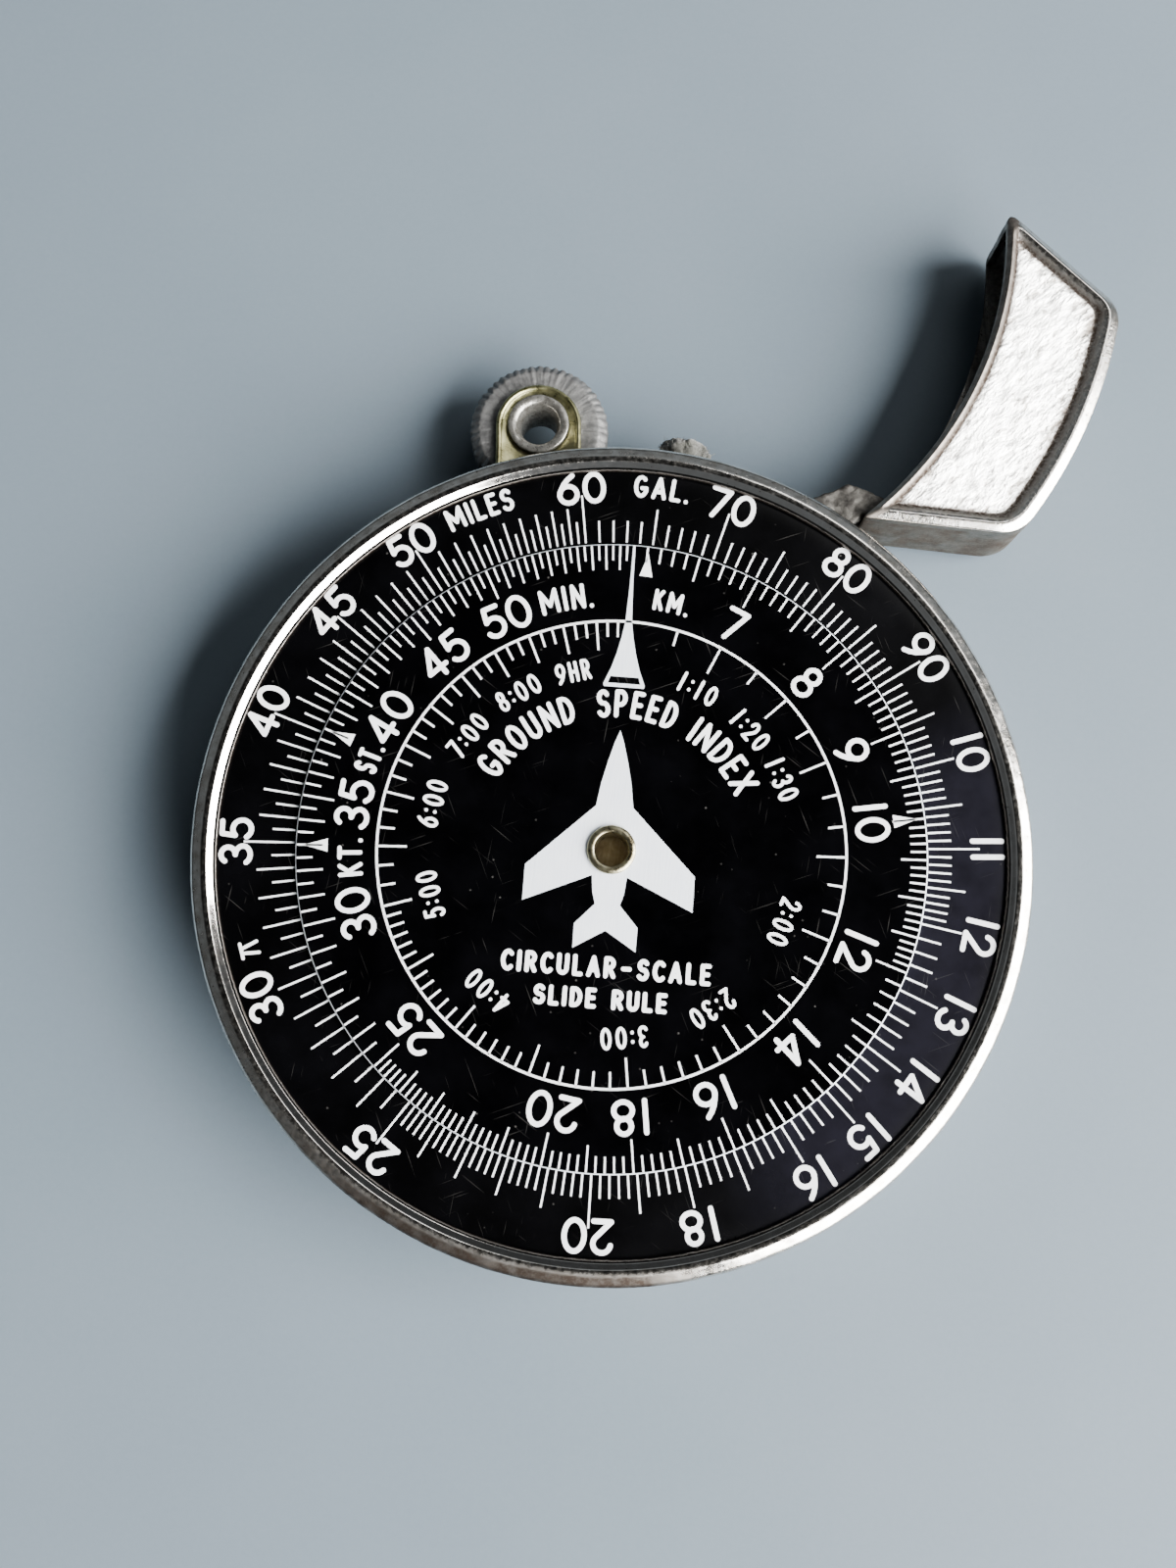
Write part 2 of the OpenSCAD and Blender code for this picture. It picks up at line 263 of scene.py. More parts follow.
def tube(path, radius, sides=8):
    """Points and faces of a closed tube along a path in mm. radius is a number or a function of 0 to 1."""
    loops = []
    last = len(path) - 1
    for i, here in enumerate(path):
        ahead = (path[min(i + 1, last)] - path[max(i - 1, 0)]).normalized()
        across = ahead.orthogonal() if i == 0 else across - ahead * across.dot(ahead)
        across.normalize()
        up = ahead.cross(across)
        r = radius(i / last) if callable(radius) else radius
        turns = [2 * pi * k / sides for k in range(sides)]
        loops.append([here + across * r * cos(a) + up * r * sin(a) for a in turns])
    return skin(loops)


def gather(parts):
    """One list of points and one of faces from several."""
    points, faces = [], []
    for more, shapes in parts:
        faces += [[i + len(points) for i in f] for f in shapes]
        points += more
    return points, faces


def boolean(obj, tool, operation="DIFFERENCE"):
    """Cuts obj with tool, or joins it to obj, and deletes the tool."""
    change = obj.modifiers.new("boolean", "BOOLEAN")
    change.operation = operation
    change.object = tool
    change.solver = "EXACT"
    take_modifiers(obj)
    bpy.data.objects.remove(tool)
    return obj


def take_modifiers(obj, sharp=32):
    """Turns obj's modifiers into its own mesh."""
    bpy.context.view_layer.update()
    made = bpy.data.meshes.new_from_object(obj.evaluated_get(bpy.context.evaluated_depsgraph_get()))
    obj.modifiers.clear()
    obj.data = made
    smooth(made, sharp)


def roughen(obj, amount, size, weight=None, octaves=3, seed=0):
    """Moves each point along its normal by noise. amount and size are in mm, weight goes by the place."""
    shift = Vector((seed * 17.3, seed * 5.1, seed * 9.7))
    moved = []
    for v in obj.data.vertices:
        p = v.co / MM
        w = weight(p) if weight else 1
        wave = noise.fractal(p / size + shift, 1.0, 2.0, octaves) if w else 0
        moved.append(v.co + v.normal * (amount * w * wave * MM))
    for v, co in zip(obj.data.vertices, moved):
        v.co = co
    obj.data.update()


def paint(obj, function, name="dirt"):
    """Stores a number from 0 to 1 at each point, for a material to read."""
    layer = obj.data.attributes.new(name, "FLOAT", "POINT")
    layer.data.foreach_set("value", [function(v.co / MM) for v in obj.data.vertices])


def sector(r_in, r_out, low, high, start, end, name="tool"):
    """A block between two radii, two heights and two angles."""
    steps = 64
    angles = [start + (end - start) * i / steps for i in range(steps + 1)]
    outer = [polar(r_out, a) for a in angles]
    inner = [polar(r_in, a) for a in reversed(angles)]
    return loft(name, [at_height(outer + inner, low), at_height(outer + inner, high)], [])


def pointing(origin, direction):
    """Matrix in mm that takes +Z to a direction, at an origin."""
    turn = Vector(direction).to_track_quat("Z", "Y").to_matrix().to_4x4()
    return Matrix.Translation(Vector(origin)) @ turn


def ride(obj, body, slot, *nodes):
    """Parents a piece to the body it moves with, and hides the CAD nodes it is shown instead of. slot is not
    used.
    """
    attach(obj, body)
    if nodes:
        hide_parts(*nodes)


# ---- materials


class Nodes:
    """Short ways to add nodes to a tree. coordinates names the texture coordinates that they work in."""

    def __init__(self, tree, coordinates):
        self.tree = tree
        self.place = self.add("TexCoord", {}, coordinates)

    def give(self, socket, value):
        """Links a socket to an output, or gives it a value. A colour has three numbers."""
        if isinstance(value, bpy.types.NodeSocket):
            self.tree.links.new(value, socket)
        else:
            socket.default_value = (*value, 1.0) if socket.type == "RGBA" else value

    def add(self, kind, inputs, output=0, **settings):
        """A node with its inputs given by name or number. Returns one of its outputs."""
        node = self.tree.nodes.new("ShaderNode" + kind)
        for key, value in settings.items():
            setattr(node, key, value)
        for key, value in inputs.items():
            self.give(node.inputs[key], value)
        return node.outputs[output]

    def noise(self, size, detail=3, roughness=0.5, stretch=None):
        """Noise whose features are about size mm across. stretch gives a turn and how much longer they are
        along each axis after it."""
        where = self.place
        if stretch:
            turn = (0, 0, stretch[0])
            sockets = {"Vector": where, "Rotation": turn, "Scale": stretch[1]}
            where = self.add("Mapping", sockets, vector_type="TEXTURE")
        sockets = {"Vector": where, "Scale": 1 / (size * MM), "Detail": detail, "Roughness": roughness}
        return self.add("TexNoise", sockets)

    def cells(self, size):
        """Voronoi distance with cells about size mm across."""
        return self.add("TexVoronoi", {"Vector": self.place, "Scale": 1 / (size * MM)})

    def span(self, value, low, high, to_low=0.0, to_high=1.0):
        """A value mapped from one range to another and held inside it."""
        sockets = {"Value": value, "From Min": low, "From Max": high, "To Min": to_low, "To Max": to_high}
        return self.add("MapRange", sockets)

    def calc(self, operation, a, b):
        return self.add("Math", {0: a, 1: b}, operation=operation)

    def times(self, a, b):
        """Two values multiplied."""
        return self.calc("MULTIPLY", a, b)

    def blend(self, factor, a, b):
        """Colour a where the factor is 0, b where it is 1."""
        return self.add("Mix", {0: factor, 6: a, 7: b}, output=2, data_type="RGBA")

    def stored(self, name="dirt"):
        """The number that paint() stored."""
        return self.add("Attribute", {}, output=2, attribute_name=name)


class Shader(Nodes):
    """One procedural material round a Principled BSDF. Its plain sockets are given by name."""

    def __init__(self, name, **sockets):
        self.material = bpy.data.materials.new(name)
        self.material.use_nodes = True
        super().__init__(self.material.node_tree, "Object")
        self.surface = self.tree.nodes["Principled BSDF"].inputs
        for key, value in sockets.items():
            self.give(self.surface[key.replace("_", " ")], value)

    def made(self, base, roughness, *bumps):
        """The material with its colour, roughness and bumps: (height, depth in mm, strength or nothing)."""
        self.give(self.surface["Base Color"], base)
        self.give(self.surface["Roughness"], roughness)
        sockets = {}
        for height, depth, *more in bumps:
            sockets.update({"Height": height, "Distance": depth * MM, "Strength": more[0] if more else 1.0})
            sockets["Normal"] = self.add("Bump", sockets)
        self.give(self.surface["Normal"], sockets["Normal"])
        return self.material


def worn_nickel(name, bright, dark, low, high, pit=0.03, grain=0.25, cover=0.6):
    """Old nickel plate: mottled tarnish, small pits, and painted dirt and painted shade (the shade only on the
    cap) that cover at least a share of it.
    """
    s = Shader(name, Metallic=1.0)
    mottle = s.noise(grain * 3, 5, 0.62)
    fleck = s.noise(grain, 4, 0.6)
    pits = s.span(s.cells(grain * 1.6), 0.05, 0.22)
    clean = s.blend(s.span(mottle, 0.32, 0.70), dark, bright)
    spotted = s.blend(s.times(s.span(pits, 0.5, 0.0), s.span(mottle, 0.6, 0.45)), clean,
                      (0.16, 0.13, 0.10))
    grime_and_shade = s.times(s.stored(), s.span(fleck, 0.25, 0.55, cover, 1.0))
    shine = s.span(fleck, 0.3, 0.7, low, high)
    # Darkened where the attribute is painted: dirt, and on the cap painted shade as well.
    base = s.blend(grime_and_shade, spotted, (0.055, 0.042, 0.034))
    rough = s.calc("ADD", shine, s.times(grime_and_shade, 0.35))
    return s.made(base, rough, (mottle, pit), (pits, pit * 0.8), (fleck, pit * 0.5))


def hammered_nickel():
    """The cap's bright panel: crumpled foil-like plating that leans a little towards its outer edge, with
    painted shade in the creases of its wrinkles. It is pitted, and its creases are darker, where its mask of
    wear and crease shade is painted."""
    s = Shader("hammered_nickel", Metallic=0.85)
    wear_and_crease_shade = s.stored("wear_and_crease_shade")
    wrinkle = s.noise(0.5, 4, 0.65, stretch=(0.75, (2.4, 1.0, 1.0)))
    dent = s.noise(0.9, 3, 0.5)
    fleck = s.noise(0.16, 4, 0.6)
    patch = s.noise(2.2, 2, 0.5)
    pits = s.times(s.span(s.cells(0.36), 0.26, 0.08), s.span(patch, 0.46, 0.58))
    # Painted shade: the wrinkles' creases are coloured dark, most of all near the panel's edge.
    edge_crease_shade = s.times(s.span(wrinkle, 0.52, 0.40), s.span(wear_and_crease_shade, 0.25, 1.0, 0.0, 0.9))
    crease_shade = s.calc("MAXIMUM", edge_crease_shade, s.span(wrinkle, 0.42, 0.35, 0.0, 0.7))
    clean = s.blend(crease_shade, (0.99, 0.99, 0.96), (0.15, 0.125, 0.10))
    spotted = s.blend(s.times(pits, s.span(wear_and_crease_shade, 0.3, 1.0, 0.15, 1.0)), clean, (0.06, 0.05, 0.04))
    # Dirt and painted shade in the corner round the panel, from the painted attribute.
    grime_and_shade = s.times(s.stored(), s.span(fleck, 0.3, 0.55, 0.6, 1.0))
    slope = tan(radians(15)) / MM
    lean = s.add("VectorMath", {0: s.place, 1: (-0.574 * slope, 0.819 * slope, 0.0)}, output=1,
                 operation="DOT_PRODUCT")
    base = s.blend(grime_and_shade, spotted, (0.04, 0.03, 0.026))
    rough = s.calc("ADD", s.span(fleck, 0.3, 0.7, 0.29, 0.42), s.times(grime_and_shade, 0.25))
    dented = s.span(wear_and_crease_shade, 0.0, 1.0, 0.3, 0.9)
    wrinkled = s.span(wear_and_crease_shade, 0.0, 1.0, 0.45, 1.0)
    return s.made(base, rough, (lean, 1.0), (dent, 0.24, dented), (wrinkle, 0.2, wrinkled), (fleck, 0.02))


def black_dial(name, haze):
    """Black anodised aluminium: hair scratches, dust specks, rubbed patches, and a painted reflection: a faint
    bluish sheen where its attribute is painted. haze is its roughness."""
    s = Shader(name, Specular_IOR_Level=0.13)
    scratches = None
    for turn, along in ((0.35, 40.0), (-0.2, 30.0), (1.9, 45.0), (0.9, 35.0)):
        line = s.noise(0.10, 1, 0.3, stretch=(turn, (1.0, along, 1.0)))
        here = s.noise(3.0, 2, 0.5, stretch=(turn * 3, (1, 1, 1)))
        mark = s.times(s.span(line, 0.72, 0.80), s.span(here, 0.5, 0.62, 0.0, 0.4))
        scratches = mark if scratches is None else s.calc("MAXIMUM", scratches, mark)
    dust = s.times(s.span(s.cells(0.8), 0.10, 0.03), s.span(s.noise(1.7, 2, 0.5), 0.54, 0.62))
    rub = s.span(s.noise(4.0, 4, 0.6), 0.38, 0.74)
    mark = s.calc("MAXIMUM", scratches, dust)
    base = s.blend(rub, (0.0003, 0.0003, 0.0004), (0.0012, 0.0012, 0.0016))
    # Painted reflection: a faint bluish sheen, in patches, where the attribute is painted.
    sheen_patches = s.times(s.stored("film"), s.span(s.noise(1.6, 4, 0.6), 0.3, 0.6, 0.55, 1.0))
    sheened = s.blend(sheen_patches, base, (0.0055, 0.0053, 0.0085))
    base = s.blend(s.times(mark, 0.6), sheened, (0.075, 0.072, 0.068))
    rough = s.calc("ADD", s.span(rub, 0.0, 1.0, haze, haze + 0.03), s.times(mark, 0.3))
    return s.made(base, rough, (mark, 0.004))


def dial_ink():
    """The white markings: matt, very slightly uneven and nicked."""
    s = Shader("dial_ink", Specular_IOR_Level=0.3)
    tone = s.noise(0.8, 3, 0.6)
    nick = s.times(s.span(s.noise(0.12, 3, 0.6), 0.66, 0.72), s.span(s.noise(2.5, 2), 0.5, 0.6))
    white = s.blend(s.span(tone, 0.35, 0.65), (0.88, 0.90, 0.93), (0.96, 0.97, 0.98))
    base = s.blend(nick, white, (0.25, 0.25, 0.26))
    rough = s.span(tone, 0.3, 0.7, 0.42, 0.6)
    return s.made(base, rough, (tone, 0.004))


def bare_aluminium():
    """The bright figures on the dial: satin aluminium, brushed one way."""
    s = Shader("bare_aluminium", Metallic=0.25)
    brush = s.noise(0.12, 3, 0.6, stretch=(-0.1, (1.0, 20.0, 1.0)))
    tone = s.noise(1.4, 3, 0.6)
    light = s.blend(s.span(tone, 0.3, 0.7), (0.84, 0.89, 0.97), (0.90, 0.95, 1.0))
    base = s.blend(s.span(brush, 0.45, 0.8), light, (0.70, 0.75, 0.83))
    rough = s.span(brush, 0.3, 0.7, 0.42, 0.62)
    return s.made(base, rough, (brush, 0.006))


def worn_brass(name, bright, dark, low, high):
    """Old brass with brown patches and fine scratches."""
    s = Shader(name, Metallic=1.0)
    tone = s.noise(0.8, 4, 0.6)
    brush = s.noise(0.07, 3, 0.6, stretch=(0.9, (1.0, 7.0, 1.0)))
    clean = s.blend(s.span(tone, 0.36, 0.62), dark, bright)
    # Darker where the attribute is painted: painted shade on the wheel's cheeks.
    base = s.blend(s.stored(), clean, (0.10, 0.085, 0.045))
    both = s.calc("ADD", s.times(tone, 0.6), s.times(brush, 0.4))
    rough = s.span(both, 0.3, 0.7, low, high)
    return s.made(base, rough, (tone, 0.01), (brush, 0.006))


def grey_steel(name, light, dark, low, high, grain=0.12, depth=0.012):
    """Dull steel with a fine uneven grain."""
    s = Shader(name, Metallic=0.85)
    tone = s.noise(grain * 5, 4, 0.6)
    fine = s.noise(grain, 4, 0.65)
    base = s.blend(s.span(tone, 0.35, 0.65), dark, light)
    rough = s.span(fine, 0.3, 0.7, low, high)
    return s.made(base, rough, (tone, depth), (fine, depth))


def cotton(name, light, dark, thread):
    """Cotton fibre: fuzzy, matt, and stained in patches."""
    s = Shader(name, Sheen_Weight=0.4, Sheen_Roughness=0.6)
    fibre = s.noise(thread, 4, 0.7, stretch=(-0.15, (1.0, 4.0, 1.0)))
    stain = s.noise(1.2, 3, 0.6)
    base = s.blend(s.times(s.span(stain, 0.35, 0.65), s.span(fibre, 0.2, 0.6)), dark, light)
    rough = s.span(fibre, 0.3, 0.7, 0.8, 0.95)
    return s.made(base, rough, (fibre, 0.05))


def black_rubber():
    """The filler screw's washer."""
    s = Shader("rubber")
    tone = s.noise(0.5, 4, 0.6)
    base = s.blend(s.span(tone, 0.3, 0.7), (0.012, 0.012, 0.012), (0.03, 0.03, 0.028))
    rough = s.span(tone, 0.3, 0.7, 0.55, 0.75)
    return s.made(base, rough, (tone, 0.01))


def pale_floor():
    """The plain pale blue-grey surface that the lighter lies on."""
    s = Shader("pale_floor", Specular_IOR_Level=0.25)
    grain = s.noise(0.35, 3, 0.6)
    tone = s.noise(14, 2, 0.5)
    speck = s.span(s.noise(0.5, 4, 0.7), 0.3, 0.7, 0.0, 0.5)
    shade = s.calc("ADD", speck, s.span(tone, 0.3, 0.7, 0.0, 0.5))
    base = s.blend(shade, (0.117, 0.152, 0.184), (0.131, 0.167, 0.199))
    rough = s.span(grain, 0.3, 0.7, 0.55, 0.68)
    return s.made(base, rough, (grain, 0.006))


NICKEL = worn_nickel("worn_nickel", (0.88, 0.86, 0.82), (0.60, 0.56, 0.50), 0.10, 0.24, pit=0.005,
                     cover=0.88)
BRIGHT_SLOPE = worn_nickel("bright_slope", (0.93, 0.89, 0.85), (0.78, 0.73, 0.68), 0.06, 0.13, pit=0.001)
NICKEL_SIDE = worn_nickel("side_nickel", (0.47, 0.455, 0.42), (0.33, 0.315, 0.285), 0.2, 0.34,
                          pit=0.012, grain=0.14)
CAP_SIDE = worn_nickel("cap_side", (0.26, 0.235, 0.20), (0.14, 0.125, 0.10), 0.3, 0.48, pit=0.025, grain=0.2)
CAP_LIP = worn_nickel("cap_lip", (0.30, 0.275, 0.245), (0.15, 0.13, 0.115), 0.38, 0.55, pit=0.02, grain=0.2)
REAR_NICKEL = worn_nickel("rear_nickel", (0.62, 0.60, 0.56), (0.50, 0.48, 0.44), 0.18, 0.32,
                          pit=0.006, grain=0.5)
POLISHED = worn_nickel("polished_nickel", (0.90, 0.88, 0.84), (0.66, 0.62, 0.56), 0.14, 0.28,
                       pit=0.012, grain=0.2)
HAMMERED = hammered_nickel()
PLATE_BLACK = black_dial("plate_black", 0.25)
DISC_BLACK = black_dial("disc_black", 0.11)
INK = dial_ink()
ALUMINIUM = bare_aluminium()
PALE_BRASS = worn_brass("pale_brass", (0.56, 0.54, 0.295), (0.27, 0.26, 0.125), 0.22, 0.4)
EYELET_BRASS = worn_brass("eyelet_brass", (0.50, 0.47, 0.32), (0.20, 0.17, 0.10), 0.2, 0.4)
DARK_BRASS = worn_brass("dark_brass", (0.68, 0.55, 0.28), (0.26, 0.18, 0.08), 0.25, 0.45)
WHEEL_STEEL = grey_steel("wheel_steel", (0.24, 0.24, 0.235), (0.13, 0.13, 0.13), 0.5, 0.72)
RIVET_STEEL = grey_steel("rivet_steel", (0.42, 0.41, 0.38), (0.20, 0.19, 0.17), 0.22, 0.42, 0.1, 0.008)
ARM_STEEL = grey_steel("arm_steel", (0.115, 0.11, 0.10), (0.04, 0.037, 0.034), 0.5, 0.75, 0.12, 0.03)
SPRING_STEEL = grey_steel("spring_steel", (0.60, 0.60, 0.60), (0.42, 0.41, 0.40), 0.25, 0.4)
FLINT_GREY = grey_steel("flint_grey", (0.30, 0.29, 0.28), (0.16, 0.15, 0.15), 0.5, 0.7)
WICK_COTTON = cotton("wick_cotton", (0.10, 0.10, 0.083), (0.042, 0.041, 0.034), 0.10)
PAD_COTTON = cotton("pad_cotton", (0.42, 0.36, 0.27), (0.16, 0.11, 0.07), 0.2)
RUBBER = black_rubber()
FLOOR = pale_floor()


# ---- case


def drill(obj, radius, origin, direction):
    """Cuts a short round hole."""
    hole = [(0, -3), (radius, -3), (radius, 3), (0, 3)]
    boolean(obj, lathe("tool", hole, [], 64, place=pointing(origin, direction)))


def case_body():
    """Drawn case: side wall with a rounded rear edge, and the deck under the dial."""
    bore = 1.2
    outline = rounded(
        [(bore, DECK_LOW), (WALL_IN, DECK_LOW), (WALL_IN, WALL_LOW), (CASE_R, WALL_LOW, 1.0),
         (CASE_R, WALL_TOP, 0.12), (WALL_IN, WALL_TOP), (WALL_IN, DECK_TOP), (bore, DECK_TOP)],
        0.06, 6)
    obj = lathe("case_wall", divided(outline, 1.2), [NICKEL_SIDE], 360)
    boolean(obj, sector(WALL_IN - 1, CASE_R + 1, SLOT_LOW, DECK_LOW, SLOT_FROM, SLOT_TO))
    flint = middle_of("flint_screw")
    drill(obj, 1.6, (flint.x, -CASE_R + 0.4, MID_Z), (0, -1, 0))
    filler = middle_of("filler_gasket")
    drill(obj, 2.0, filler, (filler.x, filler.y, 0))
    paint(obj, lambda p: 0.75 if p.z > WALL_TOP - 0.1 else 0.0)
    ride(obj, "case", "nickel", "case_body")


def burner_surround():
    """Floor and end blocks of the gap in the wall, behind the wheel and the wick."""
    r_in, r_out = 21.2, WALL_IN + 0.1
    low = 0.75
    block = radians(2)
    obj = sector(r_in, r_out, low, SLOT_LOW, SLOT_FROM - block, SLOT_TO + block, "burner_surround")
    obj.data.materials.append(NICKEL_SIDE)
    for start in (SLOT_FROM - block, SLOT_TO):
        tool = sector(r_in, r_out, SLOT_LOW - 0.02, DECK_LOW, start, start + block)
        tool.data.materials.append(NICKEL_SIDE)
        boolean(obj, tool, "UNION")
    roughen(obj, 0.01, 0.8)
    paint(obj, lambda p: 0.35)
    ride(obj, "case", "nickel")


def rear_cover():
    """Pressed rear cover: a flat rim, a shallow coined ring and a flat middle."""
    top = top_of("rear_cover")
    r = half_width_of("rear_cover")
    outline = rounded(
        [(0, 0.03), (16.8, 0.03, 0.1), (17.1, 0.13, 0.15), (17.5, 0.13, 0.15), (17.8, 0.0, 0.1),
         (r - 0.25, 0.0, 0.2), (r, 0.22, 0.1), (r, top, 0.1), (0, top)], 0.02, 4)
    obj = lathe("rear_cover_pressed", divided(outline, 0.8), [REAR_NICKEL], 360)
    roughen(obj, 0.012, 2.5, seed=3)
    paint(obj, lambda p: 0.8 if 17.0 < p.xy.length < 17.6 or p.xy.length > r - 0.12 else 0.0)
    ride(obj, "case", "nickel", "rear_cover")


BEZEL_LIP = 23.8
BEZEL_OUTER = 24.4
TARNISH_FROM = -77


def bezel_dirt(p):
    """Dirt in the corner over the dial, and tarnish on the crest and outer slope, heavy from six to eight."""
    r = p.xy.length
    corner = exp(-(((r - BEZEL_LIP) / 0.06) ** 2))
    tarnish = 0.0
    if r > BEZEL_OUTER:
        clockwise = (TARNISH_FROM - degrees(atan2(p.y, p.x))) % 360
        heavy = min(1.0, clockwise / 8) * held((85 - clockwise) / 40)
        patchy = 0.05 + 0.95 * heavy + (0.35 - 0.2 * heavy) * noise.fractal(p / 0.8, 1.0, 2.0, 3)
        tarnish = min(1.0, (r - BEZEL_OUTER) / 0.35) * max(0.0, patchy)
    return min(1.0, corner + tarnish) if p.z > 6.3 else 0.1


def bezel_weight(p):
    """The crest and the outer slope are the roughest part of the bezel."""
    return 1.0 if p.xy.length > BEZEL_OUTER else 0.3


def front_bezel():
    """Spun bezel: a polished slope down to the dial, a narrow flat crest, and a slope down to the wall."""
    lip = BEZEL_LIP
    crest = BEZEL_TOP - 0.02
    outline = rounded(
        [(lip, PLATE_TOP), (lip, crest - 0.35, 0.04), (lip + 0.18, crest - 0.315, 0.03),
         (24.32, crest - 0.03, 0.06), (24.60, crest, 0.12), (CASE_R - 0.16, crest - 0.23, 0.14),
         (CASE_R, crest - 0.48, 0.2), (CASE_R, 6.26, 0.05), (CASE_R - 0.12, WALL_TOP + 0.01),
         (WALL_IN, WALL_TOP + 0.01), (WALL_IN, PLATE_TOP)],
        0.04, 5)
    obj = lathe("bezel_ring", divided(outline, 0.09), [NICKEL, BRIGHT_SLOPE], 720, sharp=50,
                pick=lambda r, z: 1 if r < 24.30 and z > PLATE_TOP + 0.1 else 0)
    roughen(obj, 0.014, 1.8, bezel_weight, 3, 5)
    roughen(obj, 0.003, 0.5, bezel_weight, 2, 8)
    paint(obj, bezel_dirt)
    ride(obj, "case", "nickel", "front_bezel")


# ---- dial


def film(p):
    """Painted reflection on the plate: a faint sheen in place of the window's reflection, thickest between three
    and five o'clock.
    """
    off = abs(atan2(p.y, p.x) + radians(24)) / radians(42)
    return held((1.15 - off) / 0.35) if p.z > PLATE_TOP - 0.1 and p.x > 0 else 0.0


def scale_plate():
    """Fixed plate that carries the outer scale."""
    bore = 1.2
    edge = PLATE_R
    outline = rounded([(bore, DECK_TOP), (edge, DECK_TOP), (edge, PLATE_TOP), (bore, PLATE_TOP)], 0.05, 3)
    obj = lathe("outer_plate", divided(outline, 1.5), [PLATE_BLACK], 360)
    # Painted reflection of the window on the plate's right side.
    paint(obj, film, "film")
    ride(obj, "case", "black_anodised", "scale_plate")


def inner_disc():
    """Turning disc, with a bright line along its cut edge."""
    bore = 1.2
    edge = DISC_R
    bevel = 0.07
    outline = [(bore, DISC_LOW), (edge - bevel, DISC_LOW), (edge, DISC_LOW + bevel), (edge, DISC_TOP - bevel),
               (edge - bevel, DISC_TOP), (bore, DISC_TOP)]
    outline = divided([Vector(p) for p in outline], 1.5)
    looks = [DISC_BLACK, ALUMINIUM]
    obj = lathe("turning_disc", outline, looks, 360, pick=lambda r, z: 1 if r > edge - bevel else 0)
    ride(obj, "dial", "black_anodised", "inner_disc")


def dial_eyelet():
    """Rolled brass eyelet that the disc turns on."""
    low, high = bottom_of("dial_eyelet"), top_of("dial_eyelet")
    outline = rounded(
        [(1.0, low), (1.42, low, 0.08), (1.42, low + 0.25, 0.08), (1.15, low + 0.25), (1.15, high - 0.25),
         (1.47, high - 0.25, 0.03), (1.47, high - 0.08, 0.12), (1.25, high + 0.03, 0.2),
         (1.02, high - 0.02, 0.1), (1.0, high - 0.3, 0.1)],
        0.02, 5)
    obj = lathe("rolled_eyelet", divided(outline, 0.3), [EYELET_BRASS], 128)
    roughen(obj, 0.008, 0.3)
    ride(obj, "case", "brass", "dial_eyelet")


def bow(cx, cy, rx, ry, start, end, steps=20):
    """Points along an ellipse between two angles in degrees, measured from +X."""
    count = max(3, round(abs(end - start) / 360 * steps) + 1)
    turns = [radians(start + (end - start) * i / (count - 1)) for i in range(count)]
    return [(cx + rx * cos(a), cy + ry * sin(a)) for a in turns]


def bowl(x, cy, rx, ry, foot):
    """The round stroke of D, P and R, which ends at the stem at a height."""
    return [(0.0, 1.0), (x, 1.0)] + bow(x, cy, rx, ry, 80, -80) + [(x, foot), (0.0, foot)]


def lines(numbers):
    """Straight strokes, each given by its two ends, x y x y, in hundredths of the letter's height."""
    n = [int(number) / 100 for number in numbers.split()]
    return [[(n[i], n[i + 1]), (n[i + 2], n[i + 3])] for i in range(0, len(n), 4)]


SIX = [bow(0.31, 0.31, 0.31, 0.31, 0, 360),
       [(0.49, 1.0), (0.33, 0.88), (0.17, 0.70), (0.06, 0.50), (0.01, 0.34)]]

